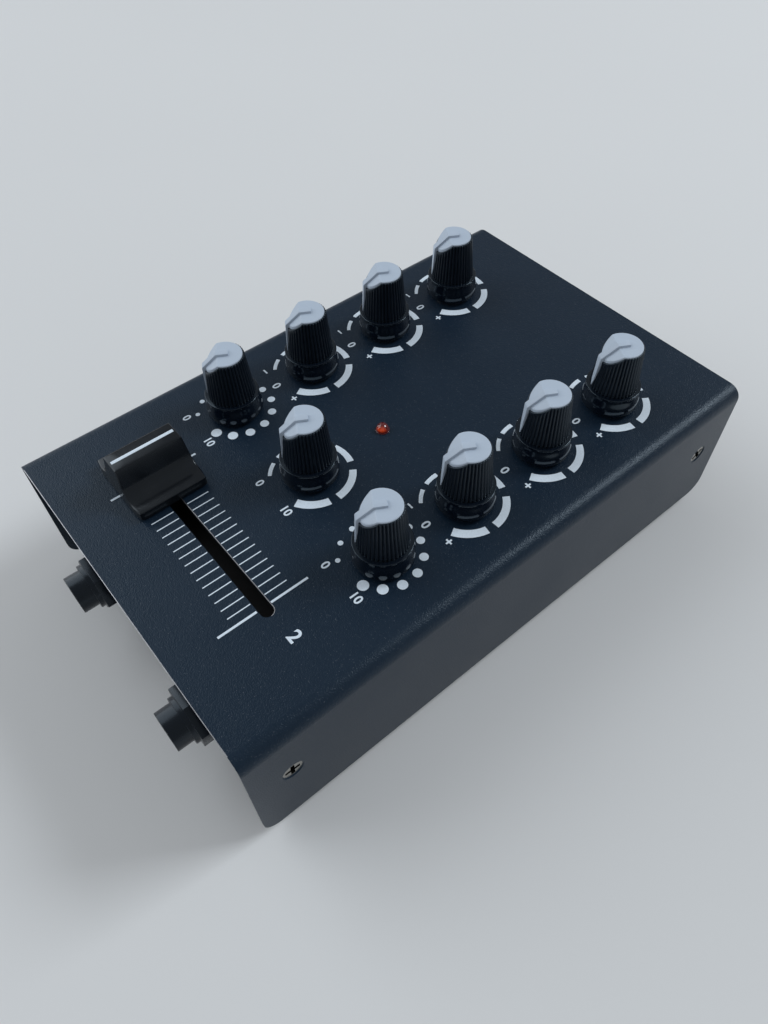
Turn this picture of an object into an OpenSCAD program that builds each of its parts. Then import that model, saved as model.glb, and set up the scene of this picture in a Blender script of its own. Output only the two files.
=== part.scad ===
// Two-channel tabletop DJ mixer: a bent steel cover over a chassis tray, nine
// rotary controls, a crossfader, two front jacks and the rear connectors.
// X runs to the user's right, Y to the rear and Z up. The origin is on the
// table, under the middle of the cover.

/* [Case] */
// Width of the cover over its outer faces
case_w = 108; // [104:1:130]
// Depth of the cover from its front edge to its rear edge
case_d = 169; // [164:1:200]
// Height of the cover from its lower edge to its top face
case_h = 43; // [42:1:60]
// Thickness of the sheet steel
sheet_t = 1; // [0.8:0.1:1.5]
// Outside radius of the bends between the top and the sides
bend_r = 4; // [2.5:0.5:8]
// Radius of the lower corners of the cover's sides
side_corner_r = 5; // [2:0.5:12]
// Distance of the front and rear panels behind the cover's edges
panel_recess = 2.5; // [1.5:0.5:5]
// Gap all round between the cover and the chassis
case_gap = 0.3; // [0.2:0.05:0.5]
// Inside radius of the chassis bends
tray_bend_r = 1; // [0.5:0.25:3]
// Length of the tabs that the cover is screwed to
tab_l = 17; // [14:1:24]
// Height of those tabs
tab_h = 28; // [14:1:34]
// Depth of each cover screw below the top face
screw_drop = 19.3; // [12:0.1:26]
// Distance of each cover screw from the nearer edge of the cover
screw_inset = 11; // [9:0.5:13]
// Thread diameter of the case screws
screw_d = 3; // [2.5:0.1:3.5]
// Head diameter of the countersunk case screws
screw_head_d = 5.8; // [5:0.1:6.5]
// Length of the case screws
screw_l = 6; // [5:0.5:10]

/* [Feet] */
// Gap between the table and the cover's lower edge
foot_gap = 3; // [2:0.5:6]
// Height of the chassis floor above the cover's lower edge
floor_lift = 0.5; // [0:0.1:2]
// Diameter of a rubber foot
foot_d = 12; // [8:0.5:16]
// Distance of the feet from the edges of the cover
foot_inset = 12; // [10:0.5:20]

/* [Dials] */
// Sideways distance of the dial columns from the middle
dial_x = 32.5; // [28:0.5:34]
// Distance of the microphone and headphone dials from the front edge
row_monitor = 55.3; // [52:0.1:58]
// Distance of the master dial from the front edge
row_master = 57.4; // [52:0.1:60]
// Distance of the low dials from the front edge
row_low = 81.9; // [80:0.1:84]
// Distance between the low, high and gain rows
row_pitch = 27.4; // [24:0.1:28]
// Turn of a dial from its lowest to its highest setting
dial_sweep = 300; // [240:5:320]

/* [Knobs] */
// Height of a knob's flat top above the cover
knob_h = 20.3; // [18:0.1:24]
// Gap between a knob's skirt and the cover
knob_gap = 1.2; // [0.8:0.1:2]
// Diameter of the foot of the skirt
skirt_d = 15.5; // [15:0.1:17]
// Diameter of the top of the skirt
skirt_top_d = 14.5; // [14:0.1:15.5]
// Height of the thin flange above the cover
flange_z = 6.6; // [6.2:0.1:8]
// Thickness of that flange
flange_t = 0.6; // [0.4:0.1:1]
// Distance that the flange stands out from the skirt
flange_out = 0.2; // [0.1:0.05:0.4]
// Diameter of the ribbed grip at its foot
grip_d = 13; // [12.4:0.1:14.2]
// Diameter of the ribbed grip at its top
grip_top_d = 10.8; // [10:0.1:12]
// Height of the grip's rim below the flat top
rim_drop = 0.6; // [0.3:0.1:1.2]
// Number of grooves round the grip
groove_count = 40; // [24:2:48]
// Depth of a groove
groove_depth = 0.35; // [0.2:0.05:0.5]
// Diameter of the light disc in the top
disc_d = 9.9; // [9:0.1:10.2]
// Depth of the disc's seat below the rim
disc_seat = 1; // [0.6:0.1:1.6]
// Distance from the axis where the facet in front of the disc starts
slope_start = 1.8; // [1.5:0.1:3]
// Fall of that facet, in degrees below the level
slope_fall = 42; // [32:1:46]
// Thickness of the light insert under the facet
facet_t = 1; // [0.7:0.1:1.4]
// Reach of the pointer's shoulder from the dial's axis
bar_reach = 6.1; // [5.9:0.05:6.4]
// Width of the raised pointer bar
pointer_w = 2; // [1.4:0.1:2.4]
// Height of the pointer bar over the disc
pointer_rise = 0.7; // [0.3:0.1:1]
// Distance that the pointer bar runs past the axis
pointer_back = 1.3; // [0:0.1:2.5]
// Width of the pointer at its lower tip
pointer_tip_w = 0.5; // [0.2:0.1:0.8]
// Distance that the pointer's tip stands out from the grip
pointer_proud = 0.1; // [0.05:0.05:0.3]
// Depth that the pointer is let into the grip
pointer_depth = 0.6; // [0.4:0.1:0.9]
// Radial clearance between knob and shaft
hub_play = 0.03; // [0.02:0.01:0.08]

/* [Rotary pots] */
// Diameter of a dial shaft
shaft_d = 6; // [5:0.1:6.4]
// Height of the shaft's end above the cover
shaft_top = 16; // [12:0.5:16.5]
// Depth of the flat on the shaft
shaft_flat = 1.5; // [1:0.1:2]
// Radial running clearance of the shaft in its bush
shaft_play = 0.05; // [0.02:0.01:0.08]
// Diameter of the threaded bush
bush_d = 7; // [6.8:0.1:8]
// Height of the bush above the cover
bush_h = 3.4; // [3:0.1:3.6]
// Width of a pot's case
pot_w = 11; // [10:0.1:13]
// Height of a pot's case
pot_h = 7; // [6.5:0.1:9]
// Clearance of the bush in the cover, on the radius
bush_play = 0.2; // [0.1:0.05:0.4]
// Width across the flats of a pot nut
pot_nut_af = 10; // [9.5:0.1:10.8]
// Thickness of a pot nut
pot_nut_t = 2; // [1.5:0.1:2.2]
// Thickness of the washer under it
pot_washer_t = 0.5; // [0.3:0.1:0.8]

/* [Crossfader] */
// Distance of the crossfader from the front edge
row_fader = 25.4; // [24:0.1:28]
// Travel of the crossfader
fader_travel = 51.2; // [44:0.1:60]
// Width of the slot in the cover
slot_w = 3.5; // [2.4:0.1:4]
// Width of the lever's stem along the slot
stem_w = 5; // [4:0.1:6]
// Thickness of the lever's stem across the slot
stem_t = 1.2; // [1:0.1:2]
// Free travel at each end of the slot
slot_end_gap = 0.5; // [0.3:0.1:1]
// Width of the cap along the slot
cap_w = 23.4; // [22:0.1:28]
// Depth of the cap across the slot, at its ridge
cap_d = 18.5; // [14:0.1:20]
// Distance that the cap's front and rear walls stand further out at their foot
cap_flare = 0.75; // [0:0.05:1.2]
// Height of the cap's ridge above the cover
cap_h = 11.7; // [10:0.1:13]
// Gap between the cap and the cover
cap_gap = 0.8; // [0.5:0.1:1.5]
// Width of the cap's ridge
ridge_w = 6.3; // [6:0.1:7.5]
// Lean of the ridge's two sides, in degrees off the upright
ridge_lean = 14; // [5:1:18]
// Radius of the hollow between the ridge and a finger scoop's floor
scoop_r = 4.5; // [3:0.1:5.5]
// Height of a finger scoop's floor above the cover
scoop_z = 3.3; // [3.2:0.1:4.5]
// Radius of the cap's upright edges
cap_corner_r = 2.5; // [1.5:0.1:3]
// Wall thickness of the cap
cap_wall = 1.2; // [0.8:0.1:1.8]
// Width of the fader's case
fader_case_d = 10; // [9:0.1:12]
// Clearance round the lever's slider in its case
slider_gap = 0.2; // [0.15:0.05:0.4]

/* [Power light] */
// Distance of the light from the front edge
row_led = 81.7; // [74:0.1:90]
// Diameter of the light's dome
led_d = 3; // [2.8:0.1:3.4]
// Height of the dome above the cover
led_h = 2.6; // [2:0.1:4]

/* [Front jacks] */
// Sideways distance of the jacks from the middle
jack_x = 24.9; // [20:0.1:30]
// Depth of the jack axes below the top face
jack_drop = 25; // [20:0.1:27]
// Diameter of a jack's threaded barrel
jack_barrel_d = 11; // [10.5:0.1:12.5]
// Distance that the barrels stand out from the cover's front edge
jack_reach = 6.7; // [5.5:0.1:9]
// Diameter of the bore for the plug
jack_bore_d = 6.5; // [6.45:0.05:6.6]
// Depth of the bore
jack_bore_l = 30; // [28:0.5:34]
// Width of the jack's case
jack_case_w = 16; // [14:0.5:18]
// Height of the jack's case
jack_case_h = 15; // [14:0.5:17]
// Length of the jack's case behind the panel
jack_case_l = 25; // [24:0.5:30]
// Width across the flats of a jack nut
jack_nut_af = 15; // [14:0.1:17]
// Thickness of a jack nut
jack_nut_t = 3.5; // [2.5:0.1:4]
// Diameter of the round collar on the nut
jack_collar_d = 13.2; // [12.6:0.1:14]
// Thickness of that collar
jack_collar_t = 1.3; // [0.6:0.1:1.6]
// Bevel round the mouth of a jack's bore
jack_bevel = 0.6; // [0.3:0.1:1]

/* [Rear connectors] */
// Distance that the phono sleeves stand out from the rear panel
rca_reach = 9.2; // [8:0.1:11]
// Outer diameter of a phono sleeve
rca_d = 8.3; // [8.2:0.05:8.4]
// Wall thickness of a phono sleeve
rca_wall = 0.5; // [0.3:0.05:0.8]
// Distance between the two sockets of a block
rca_pitch = 15.5; // [15:0.1:18]
// Width of a socket block
rca_block_w = 12; // [10:0.1:13]
// Depth of the connectors behind the rear panel
rear_depth = 11.6; // [10:0.1:14]
// Height of the socket blocks' middle above the chassis floor
rear_z = 17; // [15:0.1:19]
// Distance of the channel 1 sockets from the cover's left side
socket_inset = 14; // [13.5:0.1:15]
// Distance of the power inlet from the cover's right side
inlet_inset = 13; // [12:0.1:15]
// Diameter of the power inlet's bore
inlet_bore_d = 5.5; // [5:0.1:6]
// Depth of the power inlet's bore behind the rear panel
inlet_bore_l = 8.6; // [8:0.1:9.4]
// Distance that the inlet's barrel stands out from the rear panel
inlet_proud = 0.5; // [0.2:0.1:1]
// Wall of the power inlet's barrel
inlet_wall = 1.5; // [1:0.1:2]
// Width of the power inlet's case
inlet_w = 9; // [8.6:0.1:10]
// Height of the power inlet's case
inlet_h = 11; // [10:0.1:14]
// Diameter of the power inlet's centre pin
inlet_pin_d = 2.1; // [2:0.1:2.5]
// Travel of a line switch
switch_travel = 3.5; // [2:0.1:4]
// Width of a switch's finger tab
switch_tip_w = 4; // [3:0.1:4.5]
// Height of a switch's finger tab
switch_tip_h = 3.2; // [2.5:0.1:3.6]
// Thickness of the slide that carries the finger tab
switch_slide_t = 3; // [2:0.1:4]
// Distance that the slide reaches past the tab, each way
switch_shoulder = 2; // [1:0.1:2.4]
// Wall thickness of a switch's case
switch_wall = 1; // [0.6:0.1:1.2]

/* [Boards] */
// Thickness of the circuit boards
board_t = 1.6; // [1:0.1:2]
// Distance of the main board from the cover's front edge
board_front = 8; // [6:0.5:12]
// Distance of the main board from the cover's rear edge
board_rear = 22; // [21:0.5:26]
// Gap between the boards and the chassis sides
board_side_gap = 2.5; // [2:0.5:6]
// Diameter of a capacitor
capacitor_d = 6.3; // [5:0.1:8]
// Height of a capacitor
capacitor_h = 8; // [5:0.5:10]
// Distance between the capacitors
capacitor_pitch = 24; // [20:0.5:28]
// Width of an amplifier chip
chip_w = 10; // [6:0.5:14]
// Thickness of an amplifier chip
chip_t = 3; // [1:0.1:4]
// Radius of the flat cables' bends
cable_bend = 4; // [3:0.5:6]
// Straight run of a flat cable before its bend
cable_run = 3; // [2:0.5:6]
// Thickness of the flat cables
cable_t = 1; // [0.8:0.1:1.4]
// Width of the rear flat cable
cable_w = 20; // [12:1:30]
// Width of a jack's flat cable
jack_cable_w = 6; // [4:0.5:10]

/* [Hidden] */
$fn = 64;
// Overlap of joined shapes, and overrun of cuts
lap = 0.5;

// Heights
top_z = foot_gap + case_h;
under_z = top_z - sheet_t;
floor_z = foot_gap + floor_lift;
floor_top = floor_z + sheet_t;
board_top = under_z - pot_h;
board_bottom = board_top - board_t;
jack_z = top_z - jack_drop;
rear_mid_z = floor_top + rear_z;
screw_z = top_z - screw_drop;

// Depths
front_y = -case_d / 2;
rear_y = case_d / 2;
front_panel = front_y + panel_recess;
rear_panel = rear_y - panel_recess;
front_inner = front_panel + sheet_t;
rear_inner = rear_panel - sheet_t;
io_board_y = rear_inner - rear_depth - board_t;
fader_y = front_y + row_fader;
led_y = front_y + row_led;

// Widths
tray_w = case_w - 2 * (sheet_t + case_gap);
board_w = tray_w - 2 * (sheet_t + board_side_gap);

// Dials: name, sideways place, place from the front edge
row_high = row_low + row_pitch;
row_gain = row_high + row_pitch;
DIALS = [
    ["mic", -dial_x, row_monitor],
    ["headphone", dial_x, row_monitor],
    ["master", 0, row_master],
    ["low_1", -dial_x, row_low],
    ["low_2", dial_x, row_low],
    ["high_1", -dial_x, row_high],
    ["high_2", dial_x, row_high],
    ["gain_1", -dial_x, row_gain],
    ["gain_2", dial_x, row_gain]
];
// Direction of the pointer at the lowest setting: the sweep is even about +Y
pointer_angle = 90 + dial_sweep / 2;

// Knob
rim_z = knob_h - rim_drop;
flange_top = flange_z + flange_t;
grip_tilt = atan((grip_d - grip_top_d) / 2 / (rim_z - flange_top));
pot_nut_r = pot_nut_af / 2 / cos(30);
knob_hollow_r = pot_nut_r + 0.5;
knob_hollow_top = max(bush_h, pot_washer_t + pot_nut_t) + 1;
hub_top = shaft_top + 0.5;
seat_z = rim_z - disc_seat;
tip_z = flange_top + 0.6;
slope_end = skirt_d / 2 + 1;
slope_end_z = knob_h - (slope_end - slope_start) * tan(slope_fall);
shoulder_z = knob_h - (bar_reach - slope_start) * tan(slope_fall);
shaft_foot = -sheet_t - 4.4;
rotor_r = shaft_d / 2 + 0.9;
rotor_t = 1.2;
rotor_gap = 0.3;

// Crossfader, with heights above the cover's top face
fader_board = board_top - top_z;
fader_case_top = -sheet_t - case_gap;
slider_w = stem_w + 3;
channel_l = slider_w + fader_travel + 2 * slot_end_gap;
channel_d = fader_case_d - 2;
channel_floor = fader_board + 0.8;
channel_top = fader_case_top - 0.8;
slot_l = stem_w + fader_travel + 2 * slot_end_gap;
rest_x = -fader_travel / 2;
stem_top = cap_h - 3.2;
screw_countersink = (screw_head_d - screw_d) / 2;

// Rear connectors
rca_r = rca_d / 2;
rca_block_h = rca_pitch + 2 * rca_r + 2;
rear_step = (case_w - socket_inset - inlet_inset) / 5;
socket_x = [for (i = [0, 2, 4]) socket_inset - case_w / 2 + i * rear_step];
switch_x = [for (i = [1, 3]) socket_inset - case_w / 2 + i * rear_step];
inlet_x = case_w / 2 - inlet_inset;
slide_l = switch_tip_w + 2 * switch_shoulder;
slide_h = switch_tip_h + switch_shoulder / 2;
cavity_l = slide_l + switch_travel + 2 * slider_gap;

// ---------- helpers ----------

// Solid between two outlines in the XZ plane: y0 to y1
module along_y(y0, y1) {
    translate([0, y1, 0]) rotate([90, 0, 0]) linear_extrude(y1 - y0) children();
}

// Solid from an outline in the YZ plane, centred across X
module along_x(w) {
    translate([-w / 2, 0, 0]) rotate([90, 0, 90]) linear_extrude(w) children();
}

// Cylinder along Y from y0 to y1
module rod_y(r, y0, y1) {
    translate([0, y1, 0]) rotate([90, 0, 0]) cylinder(r = r, h = y1 - y0);
}

// Box from its lowest and highest corners
module box(a, b) {
    translate(a) cube(b - a);
}

// Upright outline, centred on x, whose two upper corners are rounded
module round_top(w, h, r) {
    translate([-w / 2, 0]) square([w, h - r]);
    translate([-w / 2 + r, 0]) square([w - 2 * r, h]);
    for (s = [-1, 1]) translate([s * (w / 2 - r), h - r]) circle(r);
}

// The same with its two lower corners rounded
module round_foot(w, h, r) {
    translate([-w / 2, r]) square([w, h - r]);
    translate([-w / 2 + r, 0]) square([w - 2 * r, h]);
    for (s = [-1, 1]) translate([s * (w / 2 - r), r]) circle(r);
}

// Rectangle centred on the origin with four round corners
module round_plate(w, d, r) {
    square([w - 2 * r, d], center = true);
    square([w, d - 2 * r], center = true);
    for (x = [-1, 1], y = [-1, 1]) translate([x * (w / 2 - r), y * (d / 2 - r)]) circle(r);
}

module at_dial(d) {
    translate([d[1], front_y + d[2], top_z]) children();
}

// ---------- dials ----------

// Side view of what lies above the sloping facet in front of the disc
module above_slope() {
    polygon([
        [slope_start, knob_h],
        [slope_end, slope_end_z],
        [slope_end, 2 * knob_h],
        [slope_start, 2 * knob_h]
    ]);
}

// Slab centred on the plane of the pointer, from an outline in side view
module side_slab(w) {
    rotate([90, 0, 0]) linear_extrude(w, center = true) children();
}

module knob_body() {
    rotate_extrude() polygon([
        [0, knob_gap],
        [skirt_d / 2, knob_gap],
        [skirt_top_d / 2, flange_z],
        [skirt_top_d / 2 + flange_out, flange_z],
        [skirt_top_d / 2 + flange_out, flange_top],
        [grip_d / 2, flange_top],
        [grip_top_d / 2, rim_z],
        [0, rim_z]
    ]);
}

// One V-shaped groove that follows the taper of the grip
module groove() {
    translate([grip_d / 2, 0, flange_top])
        rotate([0, -grip_tilt, 0])
            translate([-groove_depth, 0, -0.01])
                linear_extrude(knob_h)
                    polygon([[0, 0], [2 * groove_depth, -groove_depth * 1.4],
                             [2 * groove_depth, groove_depth * 1.4]]);
}

// Light insert: a disc, the facet in front of it and the raised pointer bar
module pointer_solid() {
    difference() {
        translate([0, 0, seat_z]) cylinder(d = disc_d, h = knob_h - seat_z);
        side_slab(2 * disc_d) above_slope();
    }
    intersection() {
        translate([0, 0, flange_top])
            cylinder(d1 = grip_d, d2 = grip_top_d, h = rim_z - flange_top);
        side_slab(2 * disc_d) polygon([
            [slope_start, knob_h],
            [slope_end, slope_end_z],
            [slope_end, slope_end_z - facet_t],
            [slope_start, knob_h - facet_t]
        ]);
    }
    intersection() {
        side_slab(pointer_w) polygon([
            [-pointer_back, knob_h - lap],
            [-pointer_back, knob_h + pointer_rise],
            [slope_start + pointer_rise * tan(slope_fall / 2), knob_h + pointer_rise],
            [bar_reach, shoulder_z + pointer_rise / cos(slope_fall)],
            [grip_d / 2 + pointer_proud, tip_z],
            [grip_d / 2 - pointer_depth, tip_z],
            [bar_reach - pointer_depth - pointer_rise, shoulder_z - pointer_depth],
            [slope_start, knob_h - facet_t + lap]
        ]);
        rotate([90, 0, 90]) linear_extrude(2 * skirt_d, center = true) polygon([
            [-pointer_tip_w / 2, tip_z],
            [pointer_tip_w / 2, tip_z],
            [pointer_w * 0.4, shoulder_z],
            [pointer_w / 2, knob_h],
            [pointer_w / 2, 2 * knob_h],
            [-pointer_w / 2, 2 * knob_h],
            [-pointer_w / 2, knob_h],
            [-pointer_w * 0.4, shoulder_z]
        ]);
    }
}

module knob(d) {
    color([0.06, 0.06, 0.07]) at_dial(d) rotate([0, 0, pointer_angle]) difference() {
        knob_body();
        for (i = [0:groove_count - 1]) rotate([0, 0, (i + 0.5) * 360 / groove_count]) groove();
        side_slab(2 * skirt_d) above_slope();
        pointer_solid();
        translate([0, 0, -lap]) cylinder(r = knob_hollow_r, h = knob_hollow_top + lap);
        difference() {
            cylinder(r = shaft_d / 2 + hub_play, h = hub_top);
            shaft_flat_cut(hub_play);
        }
    }
}

module pointer(d) {
    color([0.78, 0.8, 0.83]) at_dial(d) rotate([0, 0, pointer_angle]) pointer_solid();
}

// Half space that cuts the shaft's flat, above the bush
module shaft_flat_cut(play) {
    translate([shaft_d / 2 - shaft_flat + play, -shaft_d, knob_hollow_top + 0.5])
        cube([shaft_d, 2 * shaft_d, shaft_top]);
}

module shaft(d) {
    color([0.8, 0.8, 0.82]) at_dial(d) rotate([0, 0, pointer_angle]) difference() {
        union() {
            translate([0, 0, shaft_foot]) cylinder(d = shaft_d, h = shaft_top - shaft_foot);
            translate([0, 0, shaft_foot]) cylinder(r = rotor_r, h = rotor_t);
        }
        shaft_flat_cut(0);
    }
}

module pot(d) {
    color([0.55, 0.56, 0.58]) at_dial(d) difference() {
        union() {
            translate([0, 0, -sheet_t - pot_h]) linear_extrude(pot_h) round_plate(pot_w, pot_w, 1);
            translate([0, 0, -sheet_t - lap]) cylinder(d = bush_d, h = sheet_t + bush_h + lap);
        }
        translate([0, 0, shaft_foot]) cylinder(r = shaft_d / 2 + shaft_play, h = bush_h - shaft_foot + lap);
        translate([0, 0, shaft_foot - rotor_gap])
            cylinder(r = rotor_r + rotor_gap, h = rotor_t + 2 * rotor_gap);
    }
}

module pot_fixings() {
    color([0.7, 0.7, 0.72]) for (d = DIALS) at_dial(d) {
        difference() {
            cylinder(r = pot_nut_r - 0.2, h = pot_washer_t);
            translate([0, 0, -lap]) cylinder(r = bush_d / 2 + bush_play, h = pot_washer_t + 2 * lap);
        }
        translate([0, 0, pot_washer_t]) difference() {
            cylinder(r = pot_nut_r, h = pot_nut_t, $fn = 6);
            translate([0, 0, -lap]) cylinder(r = bush_d / 2 + 0.05, h = pot_nut_t + 2 * lap);
        }
    }
}

// ---------- case ----------

// Places children at each of the four cover screws, +Z pointing outwards
module at_case_screws() {
    for (sx = [-1, 1], sy = [-1, 1])
        translate([sx * case_w / 2, sy * (case_d / 2 - screw_inset), screw_z])
            rotate([0, sx * 90, 0]) children();
}

module cover() {
    color([0.09, 0.1, 0.11]) difference() {
        intersection() {
            translate([0, 0, foot_gap]) along_y(front_y, rear_y) difference() {
                round_top(case_w, case_h, bend_r);
                translate([0, -lap])
                    round_top(case_w - 2 * sheet_t, case_h - sheet_t + lap, bend_r - sheet_t);
            }
            translate([0, 0, foot_gap]) along_x(case_w + 2 * lap)
                round_foot(case_d, case_h + lap, side_corner_r);
        }
        for (d = DIALS) at_dial(d) translate([0, 0, -sheet_t - lap])
            cylinder(r = bush_d / 2 + bush_play, h = sheet_t + 2 * lap);
        translate([0, fader_y, under_z - lap]) linear_extrude(sheet_t + 2 * lap) slot_outline(slot_l, slot_w);
        translate([0, led_y, under_z - lap]) cylinder(d = led_d + 0.2, h = sheet_t + 2 * lap);
        at_case_screws() countersink(0.1);
    }
}

// Slot along X whose ends are half-round
module slot_outline(l, w) {
    square([l - w, w], center = true);
    for (s = [-1, 1]) translate([s * (l - w) / 2, 0]) circle(d = w);
}

// Space for a countersunk head and its thread, below the outer face
module countersink(play) {
    translate([0, 0, -screw_countersink])
        cylinder(r1 = screw_d / 2 + play, r2 = screw_head_d / 2 + play, h = screw_countersink);
    translate([0, 0, -screw_l - lap]) cylinder(r = screw_d / 2 + play, h = screw_l + lap);
    cylinder(r = screw_head_d / 2 + play, h = lap);
}

// A countersunk screw, head face at z = 0
module flat_screw() {
    translate([0, 0, -screw_countersink])
        cylinder(r1 = screw_d / 2, r2 = screw_head_d / 2, h = screw_countersink);
    translate([0, 0, -screw_l]) cylinder(d = screw_d, h = screw_l);
}

module chassis() {
    tray_h = under_z - case_gap - floor_z;
    color([0.1, 0.1, 0.11]) difference() {
        union() {
            translate([0, 0, floor_z]) along_x(tray_w) difference() {
                round_foot(rear_panel - front_panel, tray_h, tray_bend_r + sheet_t);
                translate([0, sheet_t])
                    round_foot(rear_inner - front_inner, tray_h, tray_bend_r);
            }
            for (sx = [-1, 1], sy = [-1, 1]) chassis_tab(sx, sy);
        }
        at_case_screws() translate([0, 0, -screw_l - lap])
            cylinder(r = screw_d / 2 + 0.05, h = screw_l + lap);
        for (s = [-1, 1]) translate([s * jack_x, 0, jack_z])
            rod_y(jack_barrel_d / 2 + 0.2, front_panel - lap, front_inner + lap);
        for (x = socket_x, s = [-1, 1]) translate([x, 0, rear_mid_z + s * rca_pitch / 2])
            rod_y(rca_r + 0.2, rear_inner - lap, rear_panel + lap);
        for (x = socket_x) translate([x, 0, rear_mid_z])
            rod_y(screw_d / 2 + 0.1, rear_inner - lap, rear_panel + lap);
        for (x = switch_x) translate([x, 0, rear_mid_z]) along_y(rear_inner - lap, rear_panel + lap)
            square([switch_tip_w + switch_travel + 0.6, switch_tip_h + 0.6], center = true);
        translate([inlet_x, 0, rear_mid_z])
            rod_y(inlet_bore_d / 2 + inlet_wall + bush_play, rear_inner - lap, rear_panel + lap);
    }
}

// Tab bent back from an end panel, beside the cover's wall
module chassis_tab(sx, sy) {
    x_out = sx * tray_w / 2;
    x_in = x_out - sx * sheet_t;
    y_panel = sy * (rear_panel - sheet_t / 2);
    y_free = sy * (rear_panel - tab_l);
    z_mid = screw_z;
    box([min(x_out, x_in), min(y_panel, y_free), z_mid - tab_h / 2],
        [max(x_out, x_in), max(y_panel, y_free), z_mid + tab_h / 2]);
}

module case_screws() {
    color([0.72, 0.71, 0.68]) {
        at_case_screws() flat_screw();
        for (x = socket_x) translate([x, rear_panel, rear_mid_z]) rotate([-90, 0, 0]) {
            cylinder(r = 2.5, h = 1.4);
            translate([0, 0, -screw_l]) cylinder(d = screw_d, h = screw_l + 0.1);
        }
    }
}

module rubber_feet() {
    color([0.05, 0.05, 0.05])
        for (sx = [-1, 1], sy = [-1, 1])
            translate([sx * (case_w / 2 - foot_inset), sy * (case_d / 2 - foot_inset), 0])
                rotate_extrude() polygon([
                    [0, 0],
                    [foot_d / 2 - 1, 0],
                    [foot_d / 2 - 0.5, 0.5],
                    [foot_d / 2, floor_z],
                    [0, floor_z]
                ]);
}

// ---------- crossfader ----------

module crossfader_case() {
    color([0.6, 0.61, 0.63]) translate([0, fader_y, top_z]) difference() {
        translate([-channel_l / 2 - 5, -fader_case_d / 2, fader_board])
            cube([channel_l + 10, fader_case_d, fader_case_top - fader_board]);
        translate([-channel_l / 2, -channel_d / 2, channel_floor])
            cube([channel_l, channel_d, channel_top - channel_floor]);
        translate([-slot_l / 2, -slot_w / 2, channel_top - lap])
            cube([slot_l, slot_w, fader_case_top - channel_top + 2 * lap]);
    }
}

module crossfader_lever() {
    color([0.75, 0.76, 0.78]) translate([rest_x, fader_y, top_z]) {
        translate([-slider_w / 2, -channel_d / 2 + slider_gap, channel_floor + slider_gap])
            cube([slider_w, channel_d - 2 * slider_gap, channel_top - channel_floor - 2 * slider_gap]);
        translate([-stem_w / 2, -stem_t / 2, channel_floor + slider_gap])
            cube([stem_w, stem_t, stem_top - channel_floor - slider_gap]);
    }
}

// What is hollowed out of the cap on its +X side, in the XZ plane
module finger_scoop() {
    side = cap_w / 2 + 1;
    top = cap_h + 1;
    mid_z = scoop_z + scoop_r;
    mid_x = ridge_w / 2 + scoop_r / cos(ridge_lean) + (cap_h - mid_z) * tan(ridge_lean);
    translate([mid_x, mid_z]) circle(scoop_r);
    polygon([
        [ridge_w / 2 - tan(ridge_lean), top],
        [mid_x - scoop_r * cos(ridge_lean), mid_z - scoop_r * sin(ridge_lean)],
        [mid_x, mid_z],
        [mid_x, scoop_z],
        [side, scoop_z],
        [side, top]
    ]);
}

module crossfader_cap() {
    foot_d = cap_d + 2 * cap_flare;
    color([0.05, 0.05, 0.06]) translate([rest_x, fader_y, top_z]) difference() {
        intersection() {
            along_y(-foot_d / 2, foot_d / 2) difference() {
                translate([-cap_w / 2, cap_gap]) square([cap_w, cap_h - cap_gap]);
                finger_scoop();
                mirror([1, 0]) finger_scoop();
            }
            along_x(2 * cap_w) polygon([
                [-foot_d / 2, cap_gap],
                [foot_d / 2, cap_gap],
                [cap_d / 2, cap_h],
                [-cap_d / 2, cap_h]
            ]);
            linear_extrude(cap_h + lap) round_plate(cap_w, foot_d, cap_corner_r);
        }
        difference() {
            translate([0, 0, -lap]) linear_extrude(scoop_z - cap_wall + lap)
                square([cap_w - 2 * cap_wall - 0.6, cap_d - 2 * cap_wall], center = true);
            translate([-stem_w / 2 - cap_wall, -stem_t / 2 - cap_wall, cap_gap])
                cube([stem_w + 2 * cap_wall, stem_t + 2 * cap_wall, cap_h]);
        }
        translate([-stem_w / 2 - hub_play, -stem_t / 2 - hub_play, -lap])
            cube([stem_w + 2 * hub_play, stem_t + 2 * hub_play, stem_top + 0.3 + lap]);
    }
}

// ---------- power light ----------

module power_light() {
    color([0.8, 0.05, 0.04]) translate([0, led_y, top_z]) {
        translate([0, 0, -sheet_t - 0.9]) cylinder(d = led_d, h = led_h - led_d / 2 + sheet_t + 0.9);
        translate([0, 0, led_h - led_d / 2]) sphere(d = led_d);
        translate([0, 0, -sheet_t - 0.9]) cylinder(d = led_d + 0.8, h = 0.9);
        for (s = [-1, 1]) translate([s * 1.27 - 0.25, -0.25, fader_board])
            cube([0.5, 0.5, -sheet_t - 0.5 - fader_board]);
    }
}

// ---------- front jacks ----------

module jack(s) {
    mouth = front_y - jack_reach;
    color([0.07, 0.07, 0.08]) translate([s * jack_x, 0, jack_z]) difference() {
        union() {
            rod_y(jack_barrel_d / 2, mouth, front_inner + lap);
            box([-jack_case_w / 2, front_inner, -jack_case_h / 2],
                [jack_case_w / 2, front_inner + jack_case_l, jack_case_h / 2]);
        }
        rod_y(jack_bore_d / 2, mouth - lap, mouth + jack_bore_l);
        translate([0, mouth + jack_bevel, 0]) rotate([90, 0, 0])
            cylinder(r1 = jack_bore_d / 2, r2 = jack_bore_d / 2 + jack_bevel, h = jack_bevel);
    }
}

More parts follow.
